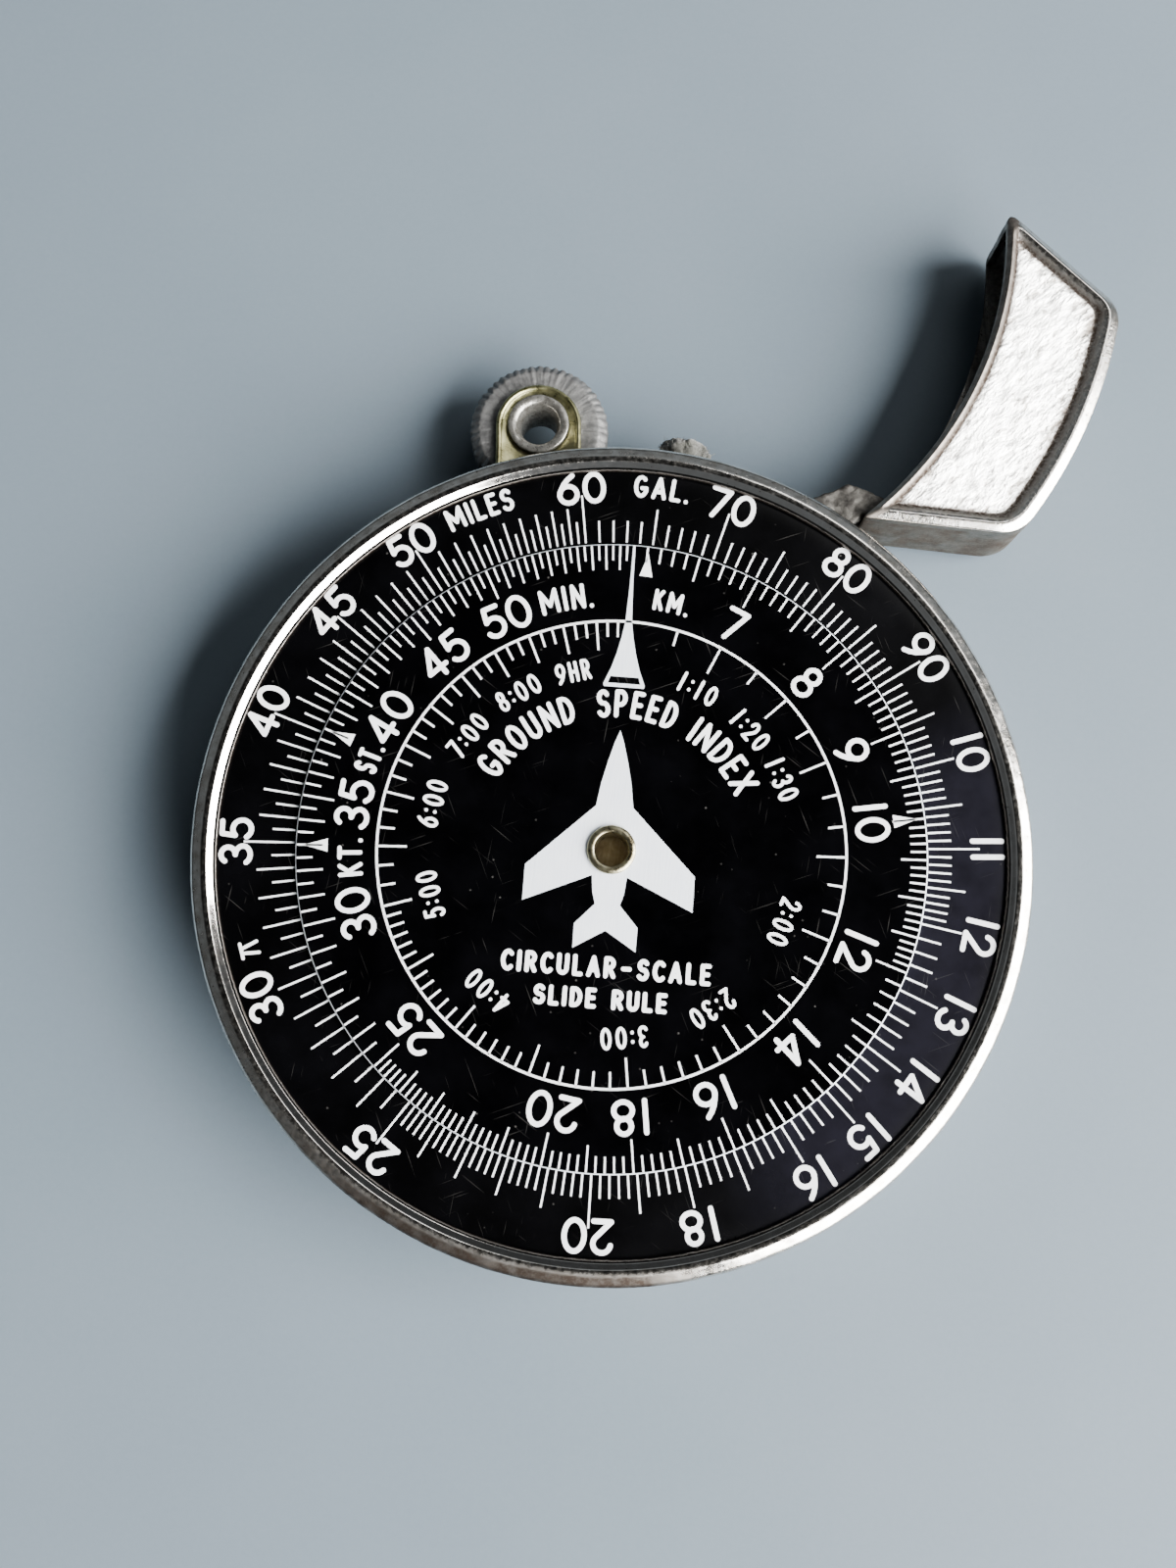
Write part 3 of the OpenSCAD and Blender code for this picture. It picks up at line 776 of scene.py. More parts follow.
# The dial's plain round-pen letters: a width and the centre lines of the strokes. Heights run from 0 to 1.
GLYPHS = {
    "0": (0.66, [bow(0.33, 0.5, 0.33, 0.5, 0, 360, 28)]),
    "1": (0.0, lines("0 0 0 100")),
    "2": (0.60, [bow(0.30, 0.71, 0.29, 0.29, 172, -38) + [(0.02, 0.0)]] + lines("2 0 60 0")),
    "3": (0.58, [bow(0.28, 0.755, 0.25, 0.245, 155, -90), bow(0.28, 0.255, 0.30, 0.255, 90, -150)]),
    "4": (0.66, lines("46 100 0 26  0 26 66 26  46 100 46 0")),
    "5": (0.60, lines("56 100 13 100  13 100 7 56") + [bow(0.29, 0.32, 0.31, 0.32, 135, -150)]),
    "6": (0.62, SIX),
    "7": (0.60, lines("0 100 60 100  60 100 20 0")),
    "8": (0.60, [bow(0.30, 0.76, 0.235, 0.24, 0, 360), bow(0.30, 0.27, 0.30, 0.27, 0, 360)]),
    "9": (0.62, [[(0.62 - x, 1 - y) for x, y in stroke] for stroke in SIX]),
    "A": (0.62, lines("0 0 31 100  31 100 62 0  12 30 50 30")),
    "C": (0.56, [bow(0.33, 0.5, 0.33, 0.5, 48, 312)]),
    "D": (0.54, lines("0 0 0 100") + [bowl(0.16, 0.5, 0.38, 0.5, 0.0)]),
    "E": (0.44, lines("0 0 0 100  0 100 44 100  0 52 38 52  0 0 44 0")),
    "G": (0.60, [bow(0.31, 0.5, 0.31, 0.5, 50, 340)] + lines("60 42 36 42  60 42 60 28")),
    "H": (0.54, lines("0 0 0 100  54 0 54 100  0 50 54 50")),
    "I": (0.0, lines("0 0 0 100")),
    "K": (0.52, lines("0 0 0 100  0 40 50 100  17 60 52 0")),
    "L": (0.42, lines("0 100 0 0  0 0 42 0")),
    "M": (0.86, lines("0 0 0 100  0 100 43 30  43 30 86 100  86 100 86 0")),
    "N": (0.58, lines("0 0 0 100  0 100 58 0  58 0 58 100")),
    "O": (0.60, [bow(0.30, 0.5, 0.30, 0.5, 0, 360, 28)]),
    "P": (0.50, lines("0 0 0 100") + [bowl(0.22, 0.73, 0.27, 0.27, 0.46)]),
    "R": (0.52, lines("0 0 0 100") + [bowl(0.22, 0.74, 0.27, 0.26, 0.48)] + lines("24 48 52 0")),
    "S": (0.52, [bow(0.27, 0.755, 0.25, 0.245, 30, 262) + bow(0.25, 0.26, 0.27, 0.26, 82, -150)]),
    "T": (0.56, lines("0 100 56 100  28 100 28 0")),
    "U": (0.54, [[(0.0, 1.0), (0.0, 0.35)] + bow(0.27, 0.30, 0.27, 0.30, 180, 360)
                 + [(0.54, 0.35), (0.54, 1.0)]]),
    "X": (0.58, lines("0 0 58 100  0 100 58 0")),
    ".": (0.0, lines("0 0 0 2")),
    ":": (0.0, lines("0 24 0 26  0 72 0 74")),
    "-": (0.66, lines("12 48 54 48")),
    "pi": (0.80, lines("0 92 80 92  28 92 10 0  52 92 72 0")),
    " ": (0.30, []),
}
DRAWN = {}
OUTER_TURN = -4.63
INNER_TURN = 4.43
MARK_WIDTH = 0.115


def ribbon(points, width):
    """Flat faces that cover one stroke with round ends. A stroke that ends where it starts is a ring."""
    line = [Vector(p) for p in points]
    ring = (line[0] - line[-1]).length < 1e-6
    half = width / 2
    last = len(line) - 1
    sides = []
    for i, here in enumerate(line):
        before = line[i - 1] if i else (line[last - 1] if ring else here)
        after = line[i + 1] if i < last else (line[1] if ring else here)
        ahead = (after - before).normalized()
        across = Vector((-ahead.y, ahead.x)) * half
        sides.append((here + across, here - across))
    faces = [[sides[i][0], sides[i][1], sides[i + 1][1], sides[i + 1][0]] for i in range(last)]
    if not ring:
        for end, beyond in ((0, line[0] - line[1]), (last, line[last] - line[last - 1])):
            start = atan2(beyond.y, beyond.x) - pi / 2
            turns = [start + pi * k / 8 for k in range(9)]
            faces.append([line[end] + Vector(polar(1, a)) * half for a in turns])
    return faces


def plate(shapes, low, high, holes=()):
    """Points and faces of a thin solid whose outline is the union of flat shapes, less the holes."""
    points, faces = [], []
    for shape in list(shapes) + list(holes):
        faces.append(list(range(len(points), len(points) + len(shape))))
        points += [Vector(p[:2]) for p in shape]
    edges = [(f[i - 1], f[i]) for f in faces for i in range(len(f))]
    flat, _, triangles = delaunay_2d_cdt(points, edges, [], 0, 1e-5)[:3]
    covers = [(shape, box_of(shape)) for shape in shapes]
    gaps = [(hole, box_of(hole)) for hole in holes]
    kept = []
    for t in triangles:
        middle = (flat[t[0]] + flat[t[1]] + flat[t[2]]) / 3
        if within(middle, covers) and not within(middle, gaps):
            kept.append(list(t))
    sides = {(t[i - 1], t[i]) for t in kept for i in range(3)}
    base = len(flat)
    made = [Vector((p.x, p.y, high)) for p in flat] + [Vector((p.x, p.y, low)) for p in flat]
    shell = kept + [[i + base for i in reversed(t)] for t in kept]
    shell += [[b, a, a + base, b + base] for a, b in sorted(sides) if (b, a) not in sides]
    return trimmed(made, shell)


def box_of(shape):
    """Lowest and highest x and y of a flat shape."""
    xs = [p[0] for p in shape]
    ys = [p[1] for p in shape]
    return min(xs), max(xs), min(ys), max(ys)


def within(p, shapes):
    """Whether a point is inside any of several flat shapes, given with their boxes."""
    for shape, (left, right, low, high) in shapes:
        if left <= p.x <= right and low <= p.y <= high and inside(p, shape):
            return True
    return False


def trimmed(points, faces):
    """Points and faces without the points that no face uses."""
    used = sorted({i for f in faces for i in f})
    place = {old: new for new, old in enumerate(used)}
    return [points[i] for i in used], [[place[i] for i in f] for f in faces]


def glyph(character, height, stroke, narrow, low, high):
    """Width and thin solid of one letter, drawn once for each size."""
    key = (character, height, stroke, narrow, low)
    if key not in DRAWN:
        width, strokes = GLYPHS[character]
        tall = height - stroke
        shapes = []
        half = stroke / 2
        for line in strokes:
            shapes += ribbon([(x * tall * narrow + half, y * tall + half) for x, y in line], stroke)
        wide = width * tall * narrow + stroke
        DRAWN[key] = (wide, plate(shapes, low, high) if shapes else ([], []))
    return DRAWN[key]


def bearing(character):
    """Extra room beside the upright figure one."""
    return 0.11 if character == "1" else 0.0


def word(text, height, stroke, narrow, gap):
    """Letters of a text with the place of each one's middle, and the text's width."""
    letters = ["pi"] if text == "pi" else list(text)
    places, x = [], 0.0
    for i, character in enumerate(letters):
        width = glyph(character, height, stroke, narrow, 0.0, 1.0)[0]
        x += bearing(character) * height if i else 0
        places.append((character, x + width / 2))
        x += width + gap + (bearing(character) * height if i < len(letters) - 1 else 0)
    return [(c, p - (x - gap) / 2) for c, p in places], x - gap


def fitted(text, room, height, stroke, gap):
    """How narrow a text's letters are when it fills a width."""
    narrow = 1.0
    for _ in range(6):
        narrow *= 1 + (room - word(text, height, stroke, narrow, gap)[1]) / room
    return round(narrow, 4)


def on_dial(points, right, out, angle, radius):
    """Points at (right, out) of a place at a clockwise angle and a radius on the dial."""
    s, c = sin(angle), cos(angle)
    made = []
    for p in points:
        x, y = p.x + right, p.y + out + radius
        made.append(Vector((x * c + y * s, -x * s + y * c, p.z)))
    return made


class Print:
    """Thin solids of one disc's markings. Angles are clockwise from twelve o'clock, in degrees."""

    def __init__(self, top, turned, off_centre=0.0):
        self.low = top - 0.01
        self.high = top + 0.015
        self.turned = radians(turned)
        self.off_centre = off_centre
        self.parts = []

    def put(self, points, faces, angle=0.0, radius=0, right=0, out=0):
        """Adds one solid at an angle in radians and a radius, and some way right and out from there."""
        self.parts.append((on_dial(points, right, out, angle + self.turned, radius), faces))

    def shape(self, outline, holes=(), angle=0.0):
        """A flat outline with holes."""
        self.put(*plate([outline], self.low, self.high, holes), radians(angle))

    def tick(self, angle, r_from, r_to, width):
        """A straight mark between two radii."""
        half = width / 2
        self.shape([(-half, r_from), (half, r_from), (half, r_to), (-half, r_to)], (), angle)

    def letters(self, text, height, stroke, narrow, gap):
        """The solid of each letter, with the place of its middle and its width."""
        for character, x in word(text, height, stroke, narrow, gap)[0]:
            width, (points, faces) = glyph(character, height, stroke, narrow, self.low, self.high)
            yield points, faces, x, width

    def label(self, text, angle, radius, height, stroke, narrow=1.0, gap=0.2):
        """Text in a straight line, its middle at a radius."""
        for points, faces, x, width in self.letters(text, height, stroke, narrow, gap):
            self.put(points, faces, radians(angle), radius, x - width / 2, -height / 2)

    def curved(self, text, start, end, radius, height, stroke, gap):
        """Text along a circle, stretched to fit between two angles."""
        narrow = fitted(text, radians(end - start) * radius, height, stroke, gap)
        for points, faces, x, width in self.letters(text, height, stroke, narrow, gap):
            self.put(points, faces, radians((start + end) / 2) + x / radius, radius, -width / 2, -height / 2)

    def line(self, text, x, y, width, height, stroke, gap):
        """Text on a level line, its middle at (x, y), stretched to a width."""
        narrow = fitted(text, width, height, stroke, gap)
        for points, faces, place, wide in self.letters(text, height, stroke, narrow, gap):
            self.put(points, faces, right=x + place - wide / 2, out=y - height / 2)

    def ring(self, radius, width):
        """A thin circle."""
        turns = [2 * pi * i / 240 for i in range(241)]
        for a, b in zip(turns, turns[1:]):
            quad = []
            for r, t in ((radius - width / 2, a), (radius + width / 2, a), (radius + width / 2, b),
                         (radius - width / 2, b)):
                quad.append(Vector((r * sin(t), r * cos(t), 0)))
            top = [Vector((p.x, p.y, self.high)) for p in quad]
            low = [Vector((p.x, p.y, self.low)) for p in quad]
            self.parts.append((top + low, [[0, 1, 2, 3], [7, 6, 5, 4], [0, 3, 7, 4], [1, 5, 6, 2]]))

    def piece(self, name, material):
        """All the markings as one mesh."""
        points, faces = gather(self.parts)
        points = [p + Vector((0, self.off_centre, 0)) for p in points]
        return solid(name, points, faces, [material])


def log_angle(value):
    """Clockwise angle of a value on the logarithmic scales, whose 60 is at the index."""
    return 360 * log10(value / 60)


def scale_values():
    """The marks of one full turn: (value, whether it is whole, or a ten from 60 up, whether it is halfway)."""
    marks = []
    for tenths in list(range(100, 120, 1)) + list(range(120, 250, 2)) + list(range(250, 600, 5)):
        marks.append((tenths / 10, tenths % 10 == 0, tenths in (105, 115)))
    for whole in range(60, 100):
        marks.append((float(whole), whole % 10 == 0, whole % 10 == 5))
    return marks


def outer_print():
    """Outer scale: distance and fuel, 10 to 90, with unit words."""
    start = DISC_R + 0.12
    leaders = (60, 70, 80, 90, 11, 20, 25, 35, 40, 45, 50)
    tall = (10, 12, 13, 14, 15, 16, 17, 18, 30)
    p = Print(PLATE_TOP, OUTER_TURN, 0.12)
    for value, whole, halfway in scale_values():
        reach = 20.5
        if whole or halfway:
            reach = 21.4
        if value in tall:
            reach = 21.55
        if value in leaders:
            reach = 22.2
        p.tick(log_angle(value), start, reach, MARK_WIDTH)
    for value in (60, 70, 80, 90, 10, 11, 12, 13, 14, 15, 16, 18, 20, 25, 30, 35, 40, 45, 50):
        p.label(str(value), log_angle(value), 22.66, 2.08, 0.31)
    tilt = -OUTER_TURN
    p.curved("MILES", -26.5 + tilt, -15.6 + tilt, 22.8, 1.47, 0.25, 0.22)
    p.curved("GAL.", 3.7 + tilt, 12.5 + tilt, 22.8, 1.47, 0.25, 0.24)
    p.label("pi", 254.4 + tilt, 22.5, 1.3, 0.2)
    ride(p.piece("outer_markings", INK), "case", None)


def inner_print():
    """Inner disc: minutes scale, time circle, unit pointers and words."""
    p = Print(DISC_TOP, INNER_TURN)
    edge = DISC_R - 0.1
    labelled = (70, 80, 90, 10, 12, 14, 16, 18, 20, 25, 30, 35, 40, 45, 50)
    for value, whole, halfway in scale_values():
        reach = 17.95
        if halfway or (whole and value <= 60):
            reach = 17.35
        if value in labelled:
            reach = 17.0
        if value != 60:
            p.tick(log_angle(value), reach, edge, MARK_WIDTH)
    for value in labelled:
        text = str(value // 10) if value >= 70 else str(value)
        p.label(text, log_angle(value), 15.75, 2.15, 0.31)
    units = (("MIN.", -16.0, -4.0, 15.78, 1.6, 0.25, 0.26), ("KM.", 9.7, 17.9, 15.7, 1.35, 0.23, 0.24),
             ("ST.", -72.4, -65.9, 15.7, 1.45, 0.25, 0.17), ("KT.", -95.8, -87.4, 15.7, 1.5, 0.25, 0.2))
    for text, start, end, *size in units:
        p.curved(text, start - INNER_TURN, end - INNER_TURN, *size)
    for value in (100, 61.1, 38, 33):
        p.shape([(-0.4, 17.05), (0.4, 17.05), (0, 18.5)], (), log_angle(value))
    time_circle(p)
    for text, start, end in (("GROUND", 302.0, 345.2), ("SPEED", 354.4, 386.3), ("INDEX", 33.8, 66.5)):
        p.curved(text, start - INNER_TURN, end - INNER_TURN, 8.95, 1.75, 0.28, 0.27)
    p.line("CIRCULAR-SCALE", 0.2, -7.0, 12.5, 1.3, 0.27, 0.2)
    p.line("SLIDE RULE", 0.0, -8.87, 7.95, 1.22, 0.27, 0.18)
    ride(p.piece("inner_markings", INK), "dial", None)


def time_circle(p):
    """Circle of hours and minutes inside the minutes scale."""
    circle = 14.1
    tall = (70, 80, 90, 105, 120, 150) + tuple(range(180, 600, 30))
    minutes = list(range(65, 300, 5)) + list(range(300, 600, 10))
    p.ring(circle, 0.15)
    for m in minutes:
        p.tick(log_angle(m), 12.3 if m in tall else 13.1, circle, 0.13)
    labels = {70: "1:10", 80: "1:20", 90: "1:30", 120: "2:00", 150: "2:30", 180: "3:00", 240: "4:00",
              300: "5:00", 360: "6:00", 420: "7:00", 480: "8:00", 540: "9HR"}
    for m, text in labels.items():
        p.label(text, log_angle(m), 11.15, 1.32, 0.2, 0.62, 0.24 if m < 540 else 0.2)


def bright_figures():
    """Bare figures on the disc: the index arrow and a plain jet."""
    p = Print(DISC_TOP, INNER_TURN)
    tip, neck, foot = DISC_R - 0.05, 14.1, 9.97
    right = [(0.07, tip), (0.1, 16.5), (0.2, neck), (0.36, 13.1), (0.58, 12.1), (0.86, 11.15),
             (1.27, foot + 0.16), (1.22, foot)]
    slot_hole = [(-1.0, 10.2), (1.0, 10.2), (0.86, 10.62), (-0.86, 10.62)]
    p.shape(right + [(-x, y) for x, y in reversed(right)], [slot_hole])
    right = [(0.0, 7.3), (0.28, 6.55), (0.62, 5.3), (0.92, 4.0), (1.12, 2.62), (5.1, -1.25), (5.1, -3.4),
             (1.05, -1.6), (0.95, -2.6), (0.75, -3.3), (1.9, -4.55), (1.88, -6.0), (0.0, -4.85)]
    left = [(-x, y) for x, y in reversed(right[1:-1])]
    bore = [polar(1.3, a * pi / 16) for a in range(32)]
    p.shape(right + left, [bore])
    ride(p.piece("bright_figures", ALUMINIUM), "dial", "steel")


# ---- wheel


def tooth_wobble(r, z, a):
    """Grooves cut across the wheel's rim, which run in along its two faces."""
    teeth = 52
    grown = 0.08
    start = 2.6
    wave = (0.5 - 0.5 * cos(teeth * a)) ** 1.4
    streak = noise.fractal(Vector((*polar(9, a), 0.5 * z)), 1.0, 2.0, 3)
    edge_crease_shade = held(0.55 + 1.1 * noise.noise(Vector((*polar(2.2, a), 5))), 0.1)
    depth = held((r - start) / (WHEEL_R - start))
    inward = 0.15 * wave * edge_crease_shade if r > WHEEL_R - 0.6 else 0.0
    side = 1 if z > 0 else -1
    sunk = (0.035 * wave * edge_crease_shade + 0.05 * streak) * depth if abs(z) > 0.3 else 0.0
    return r - inward * depth + grown * depth, z - side * sunk


def flint_wheel():
    """Serrated steel wheel."""
    half = (top_of("flint_wheel") - bottom_of("flint_wheel")) / 2
    r = WHEEL_R
    outline = rounded(
        [(1.45, -half), (2.8, -half), (r - 0.55, -half, 0.15), (r, -half + 0.5, 0.2), (r, half - 0.5, 0.2),
         (r - 0.55, half, 0.15), (2.8, half), (1.45, half)], 0.05, 3)
    place = Matrix.Translation(WHEEL)
    outline = divided(outline, 0.35)
    obj = lathe("serrated_wheel", outline, [WHEEL_STEEL], 576, tooth_wobble, place, sharp=60)
    roughen(obj, 0.035, 0.45, lambda p: 1.0 if (p.xy - WHEEL.xy).length > 2.7 else 0.3, 4, 4)
    ride(obj, "wheel", "wheel_steel", "flint_wheel")


def cheek_outline(margin):
    """Round-topped cheek, drawn in by a margin, with as many points at any margin."""
    half = half_width_of("bracket_front")
    r = half - margin
    foot = 21.9
    flare = 0.18
    top = [polar(r, pi * k / 32) for k in range(33)]
    points = [(WHEEL.x + x, WHEEL.y + y) for x, y in top]
    x_left, x_right = WHEEL.x - r - flare, WHEEL.x + r
    y_left = sqrt(foot**2 - x_left**2)
    y_right = sqrt(foot**2 - x_right**2)
    for k in range(1, 12):
        t = k / 12
        points.append((WHEEL.x - r - flare * t * t, WHEEL.y + (y_left - WHEEL.y) * t))
    for k in range(25):
        x = x_left + (x_right - x_left) * k / 24
        points.append((x, sqrt(foot**2 - x**2)))
    for k in range(1, 12):
        t = k / 12
        points.append((x_right, y_right + (WHEEL.y - y_right) * t))
    return points


def cheek_dirt(sunk, side):
    """Painted shade in a cheek's sunk middle and on its foot."""
    def dirt(p):
        if (p.z - sunk) * side < 0 and (p.xy - WHEEL.xy).length < 2.25:
            return 0.45
        return 0.4 if p.y < WHEEL.y - 1.4 else 0.0
    return dirt


def cheek(name, node, side):
    """Pressed brass cheek with a rolled bright edge. side is 1 in front and -1 behind."""
    inner = top_of("flint_wheel") - MID_Z + 0.1
    levels = [(0.08, 0.0), (0.0, 0.06), (0.0, 0.34), (0.05, 0.44), (0.16, 0.5), (0.28, 0.46), (0.36, 0.36),
              (0.42, 0.30)]
    outlines = [(cheek_outline(m), inner + h) for m, h in levels]
    bore = 1.42
    hole = [tuple(WHEEL.xy + (Vector(p) - WHEEL.xy).normalized() * bore) for p in outlines[0][0]]
    outlines += [(hole, inner + 0.28), (hole, inner)]
    loops = [at_height(line, MID_Z + side * h) for line, h in outlines]
    obj = loft(name, loops, [PALE_BRASS], ring=True, sharp=50)
    roughen(obj, 0.01, 0.6, seed=7)
    sunk = MID_Z + side * (inner + 0.36)
    # Painted shade in the sunk middle and on the foot.
    paint(obj, cheek_dirt(sunk, side))
    ride(obj, "case", "brass", node)


def wheel_rivet():
    """Hollow rivet that the wheel turns on, spread into a funnel at both ends."""
    half = top_of("wheel_rivet") - MID_Z
    flange = half_width_of("wheel_rivet")
    under = half - 0.3
    right = [(1.4, under, 0.03), (flange, under, 0.1), (flange, half - 0.02, 0.22), (1.62, half + 0.02, 0.16),
             (1.38, half - 0.12, 0.15), (1.15, half - 0.75, 0.2)]
    mirrored = [(r, -z, k) for r, z, k in reversed(right)]
    outline = rounded(right + mirrored, 0.05, 5)
    obj = lathe("hollow_rivet", divided(outline, 0.4), [RIVET_STEEL], 160, place=Matrix.Translation(WHEEL))
    roughen(obj, 0.02, 0.7, seed=2)
    ride(obj, "case", "steel", "wheel_rivet")


def wick():
    """Cotton wick: a twisted stub with a soft crown of loose fibres."""
    random.seed(11)
    tip = 27.25
    start = 18.2
    centre = Vector((5.05, 27.35, 0)).normalized()
    across = Vector((-centre.y, centre.x, 0))
    place = Matrix((
        (across.x, 0, centre.x, 0), (across.y, 0, centre.y, 0), (0, 1, 0, MID_Z), (0, 0, 0, 1)))

    def strands(r, z, a):
        swell = 1 + 0.27 * max(0.0, (z - 24.4) / 2.8)
        groove = 1 - 0.07 * (0.5 - 0.5 * cos(9 * a + 0.55 * z)) * min(1.0, r)
        return r * swell * groove, z

    outline = rounded([(0, start), (1.38, start, 0.2), (1.38, tip - 0.7), (1.3, tip - 0.25, 0.3),
                       (0.75, tip + 0.05, 0.4), (0, tip + 0.1)], 0.1, 6)
    core = lathe("frayed_wick", divided(outline, 0.12), [WICK_COTTON], 120, strands, place, sharp=80)
    roughen(core, 0.22, 0.8, lambda p: 1.0 if p.y > 25.5 else 0.15, 3, 6)
    roughen(core, 0.05, 0.16, lambda p: 1.0 if p.y > 25.5 else 0.3, 3, 7)
    parts = []
    for _ in range(420):
        a = random.uniform(0, 2 * pi)
        r = 1.62 * sqrt(random.random())
        low = tip - 0.4 if r < 1.2 else tip - random.uniform(0.45, 1.6)
        lean = Vector((*polar(1, a), 0)) * (0.25 + 0.5 * r) + Vector((0, 0, 1.0))
        lean += Vector([random.uniform(-0.7, 0.7) for _ in range(3)])
        bend = Vector([random.uniform(-0.5, 0.5) for _ in range(3)])
        root = Vector((*polar(r, a), low))
        long = random.uniform(0.26, 0.52)
        steps = [k / 6 for k in range(7)]
        path = [place @ (root + lean.normalized() * long * t + bend * 0.3 * t * t) for t in steps]
        parts.append(tube(path, lambda t: 0.024 * (1 - 0.5 * t), 5))
    points, faces = gather(parts)
    fibres = solid("wick_fibres", points, faces, [WICK_COTTON], sharp=80)
    ride(core, "case", "wick_cotton", "wick")
    ride(fibres, "case", "wick_cotton")


# ---- cap


CAP_IN, CAP_OUT = 25.75, 33.5
CAP_END = 18.29
CAP_SLOPE = radians(18.7)
RIM_IN, RIM_OUT, RIM_END = 0.75, 1.6, 1.2
CAP_LOW, CAP_HIGH = bottom_of("cap_shell"), top_of("cap_shell")


def swung(p):
    """A point of the shut cap, taken to the open place that the CAD draws."""
    turn = Matrix.Rotation(-CAP_OPEN, 2)
    xy = turn @ (Vector(p[:2]) - HINGE.xy) + HINGE.xy
    return Vector((xy.x, xy.y, p[2]))


def unswung(p):
    """The place of a point of the open cap when the cap is shut."""
    turn = Matrix.Rotation(CAP_OPEN, 2)
    return turn @ (Vector(p[:2]) - HINGE.xy) + HINGE.xy


def cap_loop(m_in, m_out, m_end, corners=(0.4, 0.8, 1.2, 1.5)):
    """The shut cap's outline inside three margins. corners says how far each corner's curve reaches:
    hinge side of the concave edge, free side of it, free side of the convex edge, hinge side of it."""
    r_in, r_out, reach = CAP_IN + m_in, CAP_OUT - m_out, CAP_END - m_end
    a_in = CAP_SLOPE + acos(reach / r_in)
    a_out = CAP_SLOPE + acos(reach / r_out)
    hinge_in, free_in, free_out, hinge_out = corners

    def on(r, a):
        return Vector(polar(r, a))

    def arc(r, start, end, count):
        return [on(r, start + (end - start) * i / (count - 1)) for i in range(count)]

    def side(start, end, near, far, count):
        along = (end - start).normalized()
        first, last = start + along * near, end - along * far
        return [first.lerp(last, i / (count - 1)) for i in range(count)]

    right_in, left_in = on(r_in, a_in), on(r_in, pi - a_in)
    right_out, left_out = on(r_out, a_out), on(r_out, pi - a_out)
    sides = [
        (arc(r_in, a_in + hinge_in / r_in, pi - a_in - free_in / r_in, 70), left_in),
        (side(left_in, left_out, free_in, free_out, 24), left_out),
        (arc(r_out, pi - a_out - free_out / r_out, a_out + hinge_out / r_out, 70), right_out),
        (side(right_out, right_in, hinge_out, hinge_in, 24), right_in),
    ]
    loop = []
    for i, (points, at) in enumerate(sides):
        ahead = sides[(i + 1) % 4][0][0]
        loop += points + curve(points[-1], at, ahead, 8)[1:-1]
    return loop


def cap_depth(p):
    """How far a point of the open cap is from its edge: 0 at the edge, 1 where the sunk panel starts."""
    q = unswung(p)
    n = Vector((cos(CAP_SLOPE), sin(CAP_SLOPE)))
    ends = CAP_END - max(n.x * q.x + n.y * q.y, -n.x * q.x + n.y * q.y)
    return min((q.length - CAP_IN) / RIM_IN, (CAP_OUT - q.length) / RIM_OUT, ends / RIM_END)


def cap_dirt(p):
    """Dirt and painted shade in the corner round the sunk panel, painted shade inside the hollow, and dirt in
    patches on the walls.
    """
    f = cap_depth(p)
    # Near the top: dirt and painted shade in the corner round the sunk panel.
    if p.z > CAP_HIGH - 0.8:
        return held(1.35 * exp(-(((f - 0.9) / 0.2) ** 2)))
    # Inside the hollow: painted shade. Elsewhere on the walls: dirt in patches.
    hollow = CAP_LOW + 0.5 < p.z < CAP_HIGH - 0.5 and f > 0.25
    return 0.8 if hollow else held(0.42 + 0.7 * noise.fractal(p / 1.1, 1.0, 2.0, 3))


def panel_wear(p):
    """How worn the panel is, and how much painted shade its creases get: all of it at its edge, none in the
    middle.
    """
    return held(1.15 - (cap_depth(p) - 1) / 1.3) if p.z > CAP_HIGH - 0.6 else 1.0


def panel_height(x, y):
    """Wrinkled height of the sunk panel, in mm."""
    q = Vector((x, y, 0))
    broad = noise.fractal(q / 2.2 + Vector((3, 1, 2)), 1.0, 2.0, 3)
    wrinkle = noise.fractal(Vector((x * 0.8 + y * 0.5, y * 1.5 - x * 0.4, 4)) / 0.8, 1.0, 2.0, 3)
    return CAP_HIGH - 0.31 + 0.055 * broad + 0.04 * wrinkle


